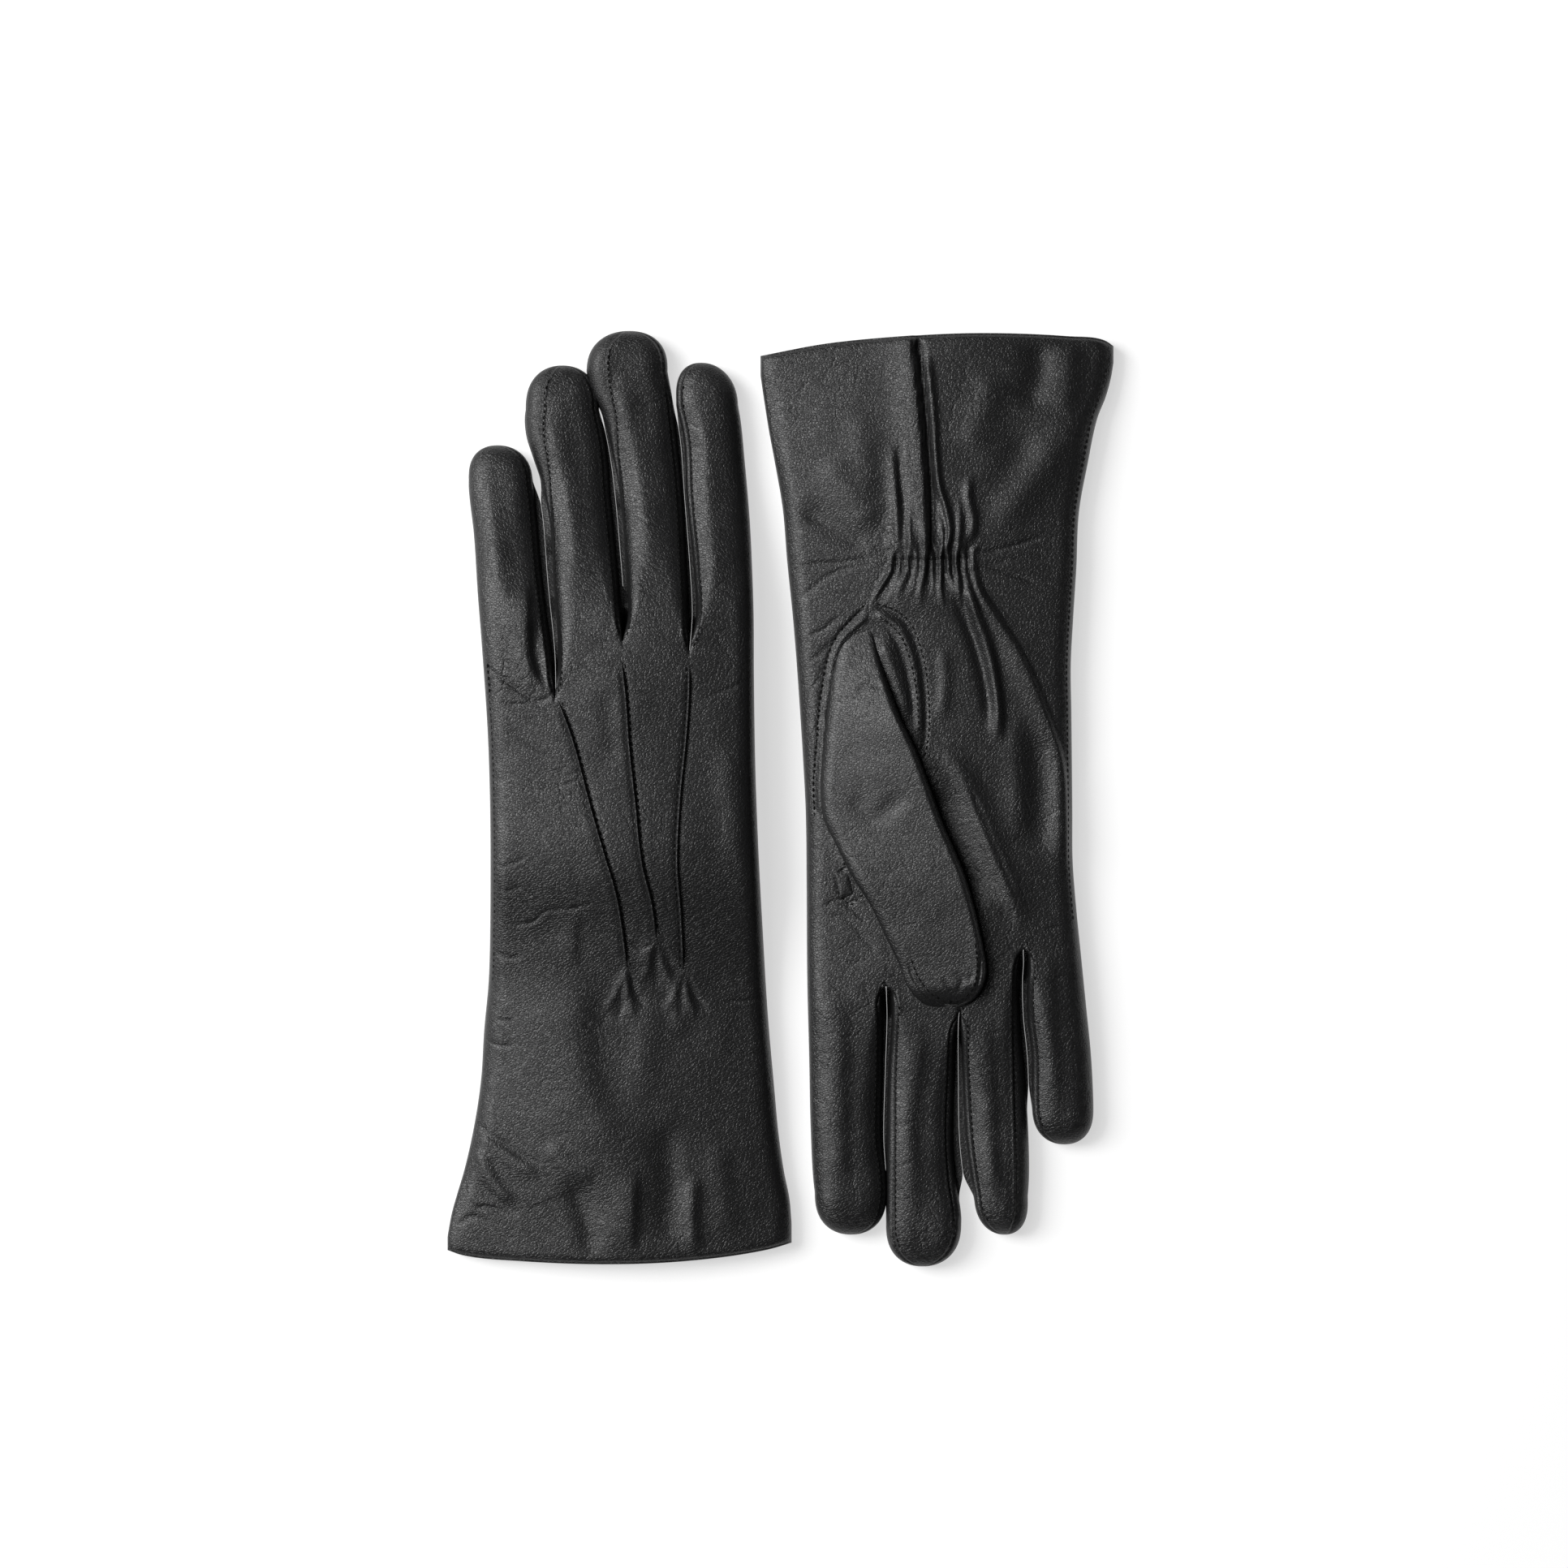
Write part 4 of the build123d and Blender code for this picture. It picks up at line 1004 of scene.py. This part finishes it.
def thumb_grid(upper, glove, inset=0.0):
    """The folded thumb as a lens between its two sides: rows run from the top of the thumb hole to the tip.
    Height is a
    floor that rises from the sewn side plus the lens's half thickness times the rounding of both sides."""
    left, right = smooth_line(THUMB_LEFT, 150), smooth_line(THUMB_RIGHT, 150)
    tip = np.array(THUMB_TIP)
    t = np.sin(np.linspace(0, np.pi / 2, 24))[1:, None]
    open_l, open_r = left[-1], right[-1]
    close = (1 - t**2.0) ** (1 / 2.0)
    mid_end = (open_l + open_r) / 2
    mid = mid_end + (tip - mid_end) * t
    left = np.concatenate([left, mid + (open_l - mid_end) * close])
    right = np.concatenate([right, mid + (open_r - mid_end) * close])
    rows = len(left)
    share = np.linspace(0, 1, rows)[:, None]
    q = np.linspace(0, 1, 56)
    q = 0.45 * q + 0.55 * (0.5 - 0.5 * np.cos(np.pi * q))
    plan = left[:, None] + (right - left)[:, None] * q[None, :, None]
    width = np.linalg.norm(right - left, axis=1)[:, None]
    run = np.concatenate([[0], np.cumsum(np.linalg.norm(np.diff((left + right) / 2, axis=0), axis=1))])[:,
                                                                                                        None]
    end = ease(0, 1, np.clip((run[-1] - run) / 9.0, 0, 1)) ** 0.5
    thick = 0.8 + 7.6 * ease(-4, 42, run) - 1.2 * ease(95, 140, run)
    thick = thick * (0.12 + 0.88 * end)
    edge = 4.2
    shape = (1 - rounding(q * width / edge, 2.0)) * (1 - rounding((1 - q) * width / 2.6, 2.2))
    shape = shape * np.clip(width / 6, 0, 1)
    # the sewn side lies on the palm as far as the crotch of the thumb, and lifts after it
    lifted = ease(62, 96, run)
    west = 0.3 + (thick * 0.42 - 0.3) * lifted
    floor = west + (thick * 0.5 - west) * q[None]
    crest = thick * (0.34 + 0.34 * lifted + (0.76 - 0.30 * lifted) * q[None])
    up = floor + np.maximum(crest - floor, 0) * shape
    down = floor - np.maximum(floor - 0.15, 0) * shape
    z = up if upper else down
    x, y = plan[..., 0], plan[..., 1]
    if upper:
        full = z.copy()
        full += 0.22 * soft_noise(x, y, 16, 21) + 0.10 * soft_noise(x, y, 7, 22)
        fold(full, x, y, [(24, 34), (29, 37), (34, 36)], -0.35, 0.9)
        fold(full, x, y, [(22, 2), (30, -6), (42, 2)], -0.5, 3.0)
        fold(full, x, y, [(52, -58), (57, -63), (60, -58)], -0.4, 0.8)
        fold(full, x, y, [(56, -57), (61, -59), (63, -56)], -0.3, 0.7)
        fold(full, x, y, [(45, -59), (49, -64), (54, -66)], -0.3, 0.8)
        # the seam that runs round the tip, just inside the edge
        fold(full, x, y, [(41, -52), (44, -60), (50, -66), (57, -67.4), (63, -63.5), (65, -56), (64.6, -48)],
             -0.55, 0.55, 0.55, 0.1)
        z = z + (full - z) * np.clip(shape * 1.7 - 0.15, 0, 1)
    if inset:
        centre = plan.mean(1, keepdims=True)
        plan = centre + (plan - centre) * (1 - inset / 14)
        x, y = plan[..., 0], plan[..., 1]
        z = thick / 2 + (z - thick / 2) * 0.72
    if glove == "right":
        return np.stack([x, y, PALM_TOP + z], -1)
    return np.stack([0.5 - x, -y, np.maximum(LEFT_PALM - z, 0.15)], -1)


def make_thumb(glove, palm):
    """A thumb, its lining and stitches, the quirk beside it and the elastic tape. palm is the palm's cloud
    of points."""
    right = glove == "right"
    up = 1 if right else -1
    hand = f"{glove}_hand"

    def place(line):
        return line if right else half_turn(line)

    crease = CREASE_POINT if right else np.array([0.5, 0]) - CREASE_POINT
    reach = 7 * up * CREASE_NORMAL
    height = 0.0167 if right else 0.0045
    bend = (hand, f"{glove}_thumb", (*(crease - reach) / 1000, height), (*(crease + reach) / 1000, height))
    skins = [sheet(thumb_grid(side, glove), side != right) for side in (True, False)]
    made = skin(f"{glove}_thumb_leather", *stack(skins))
    dress(made, NAPPA_THUMB, nodes=[f"{glove}_thumb_shell", f"{glove}_thumb_base"], bend=bend)
    linings = [sheet(thumb_grid(side, glove, inset=1.4)[10:-4:3, ::3], side != right) for side in (True,
                                                                                                   False)]
    made = skin(f"{glove}_thumb_knit", *stack(linings))
    dress(made, KNIT, nodes=[f"{glove}_thumb_lining"], bend=bend)

    # the rows of stitches round the thumb hole and the quirk, and the seam round the tip
    hole = [[(27.4, 63.2), (17.4, 51.8), (13.0, 34), (11.6, 18), (10.6, 3), (11.2, -7)],
            [(31, 63.6), (37, 61.4), (42, 57.4), (46.2, 46.9), (48.2, 33.7), (48.2, 20.6), (47, 14)],
            [(32, 59.6), (38.4, 54), (42.2, 45), (44.4, 33.4), (45.2, 21)],
            [(21.2, -20.6), (18.6, -26), (19.2, -31.4), (23, -34.6), (26.4, -31.8)]]
    made = stitches(f"{glove}_thumb_hole_stitches", [place(line) for line in hole], palm, up=up)
    dress(made, THREAD, hand)
    tip = [(42.4, -52.4), (45.2, -59), (50.6, -64.8), (57, -66.2), (62, -62.6), (63.8, -56), (63.4, -48)]
    cloud = thumb_grid(True, glove).reshape(-1, 3)
    made = stitches(f"{glove}_thumb_tip_stitches", [place(tip)], cloud, pitch=2.1, length=1.4, thick=0.28,
                    up=up)
    dress(made, THREAD, bend=bend)

    # the quirk: a small dome between the thumb and the palm
    gx, gy = np.meshgrid(np.linspace(-1, 1, 15), np.linspace(-1, 1, 15))
    dome = np.sqrt(np.clip(1 - np.maximum(np.abs(gx), np.abs(gy)) ** 2.5, 0, 1))
    qx, qy = 20.8 + 2.4 * gx - 0.9 * gy, -28.0 + 4.4 * gy + 0.6 * gx
    if not right:
        qx, qy = 0.5 - qx, -qy
    level = height_at(palm, *place([(21, -28)])[0])[0]
    grid = np.stack([qx, qy, level + up * (dome * 0.8 - 0.3)], -1)
    dress(skin(f"{glove}_quirk", *sheet(grid, right)), FORK, hand, [f"{glove}_thumb_quirk"])

    # the elastic tape under the gathers, in waves of the gathers' pitch
    ex, ey = np.meshgrid(np.linspace(35, 63.5, 58), np.linspace(74.6, 80.2, 10))
    if not right:
        ex, ey = 0.5 - ex, -ey
    level = height_at(palm, ex.mean(), ey.mean())[0]
    top = np.stack([ex, ey, level - up * (1.6 - 0.25 * np.sin(ex * 2 * np.pi / GATHER))], -1)
    low = top - np.array([0, 0, up * 0.5])
    made = skin(f"{glove}_elastic", *stack([sheet(top, right), sheet(low, not right)]))
    dress(made, KNIT, hand, [f"{glove}_wrist_elastic"])


def edge_line(glove, inset, start, end):
    """Points along the little finger's side of the hand, inset mm inside its edge."""
    y = np.linspace(start, end, 24)
    edge = through(LEFT_LITTLE_EDGE if glove == "left" else RIGHT_LITTLE_EDGE)
    return [(px + (inset if glove == "left" else -inset), py) for px, py in zip(edge(y), y)]


upper, lower = {}, {}
for glove in ("left", "right"):
    upper[glove], lower[glove] = make_glove(glove)
for glove, palm in (("right", upper["right"]), ("left", lower["left"])):
    make_thumb(glove, palm)
for glove, start, end in (("left", 44, -60), ("right", -40, 140)):
    made = stitches(f"{glove}_outseam", [edge_line(glove, 1.5, start, end)], upper[glove], length=1.35,
                    thick=0.26)
    dress(made, THREAD, f"{glove}_hand")


# ---------------------------------------------------------------- floor, light

def floor():
    """A wide pale sheet under the gloves, lit a little from below like a light table."""
    mesh = bpy.data.meshes.new("table")
    mesh.from_pydata([(-4, -4, 0), (4, -4, 0), (4, 4, 0), (-4, 4, 0)], [], [(0, 1, 2, 3)])
    made = bpy.data.objects.new("table", mesh)
    bpy.context.collection.objects.link(made)
    white = bpy.data.materials.new("table_white")
    white.use_nodes = True
    wire(white.node_tree, white.node_tree.nodes["Principled BSDF"], {
        "Base Color": (0.5, 0.5, 0.5, 1), "Roughness": 1.0, "Specular IOR Level": 0.0,
        "Emission Color": (1, 1, 1, 1), "Emission Strength": 0.62})
    made.data.materials.append(white)


def lamp(name, place, size, power):
    """A rectangular area lamp that faces the gloves."""
    light = bpy.data.lights.new(name, "AREA")
    light.shape = "RECTANGLE"
    light.size, light.size_y = size
    light.energy = power
    made = bpy.data.objects.new(name, light)
    bpy.context.collection.objects.link(made)
    made.location = place
    made.rotation_mode = "QUATERNION"
    made.rotation_quaternion = (-Vector(place)).to_track_quat("-Z", "Y")


def surround():
    """A white room that is dim overhead and to the right, and bright low on the left, so that leather that
    lies flat
    or turns right stays black."""
    world = bpy.data.worlds.new("studio")
    bpy.context.scene.world = world
    world.use_nodes = True
    where = add(world, "TexCoord", {}).outputs["Generated"]
    parts = add(world, "SeparateXYZ", {"Vector": where}).outputs
    fall = between(world, parts["Z"], 0.10, 0.80, from_min=0.90, from_max=0.55)
    side = between(world, parts["X"], 1.15, 0.35, from_min=-0.6, from_max=0.5)
    both = add(world, "Math", {0: fall, 1: side}, operation="MULTIPLY").outputs[0]
    wire(world.node_tree, world.node_tree.nodes["Background"], {"Strength": both})


floor()
surround()
lamp("key_left", (-1.9, 0.7, 1.9), (1.6, 1.6), 90)
lamp("key_high_left", (-0.95, 0.35, 2.4), (0.7, 1.1), 14)
bpy.context.scene.view_settings.view_transform = "Standard"
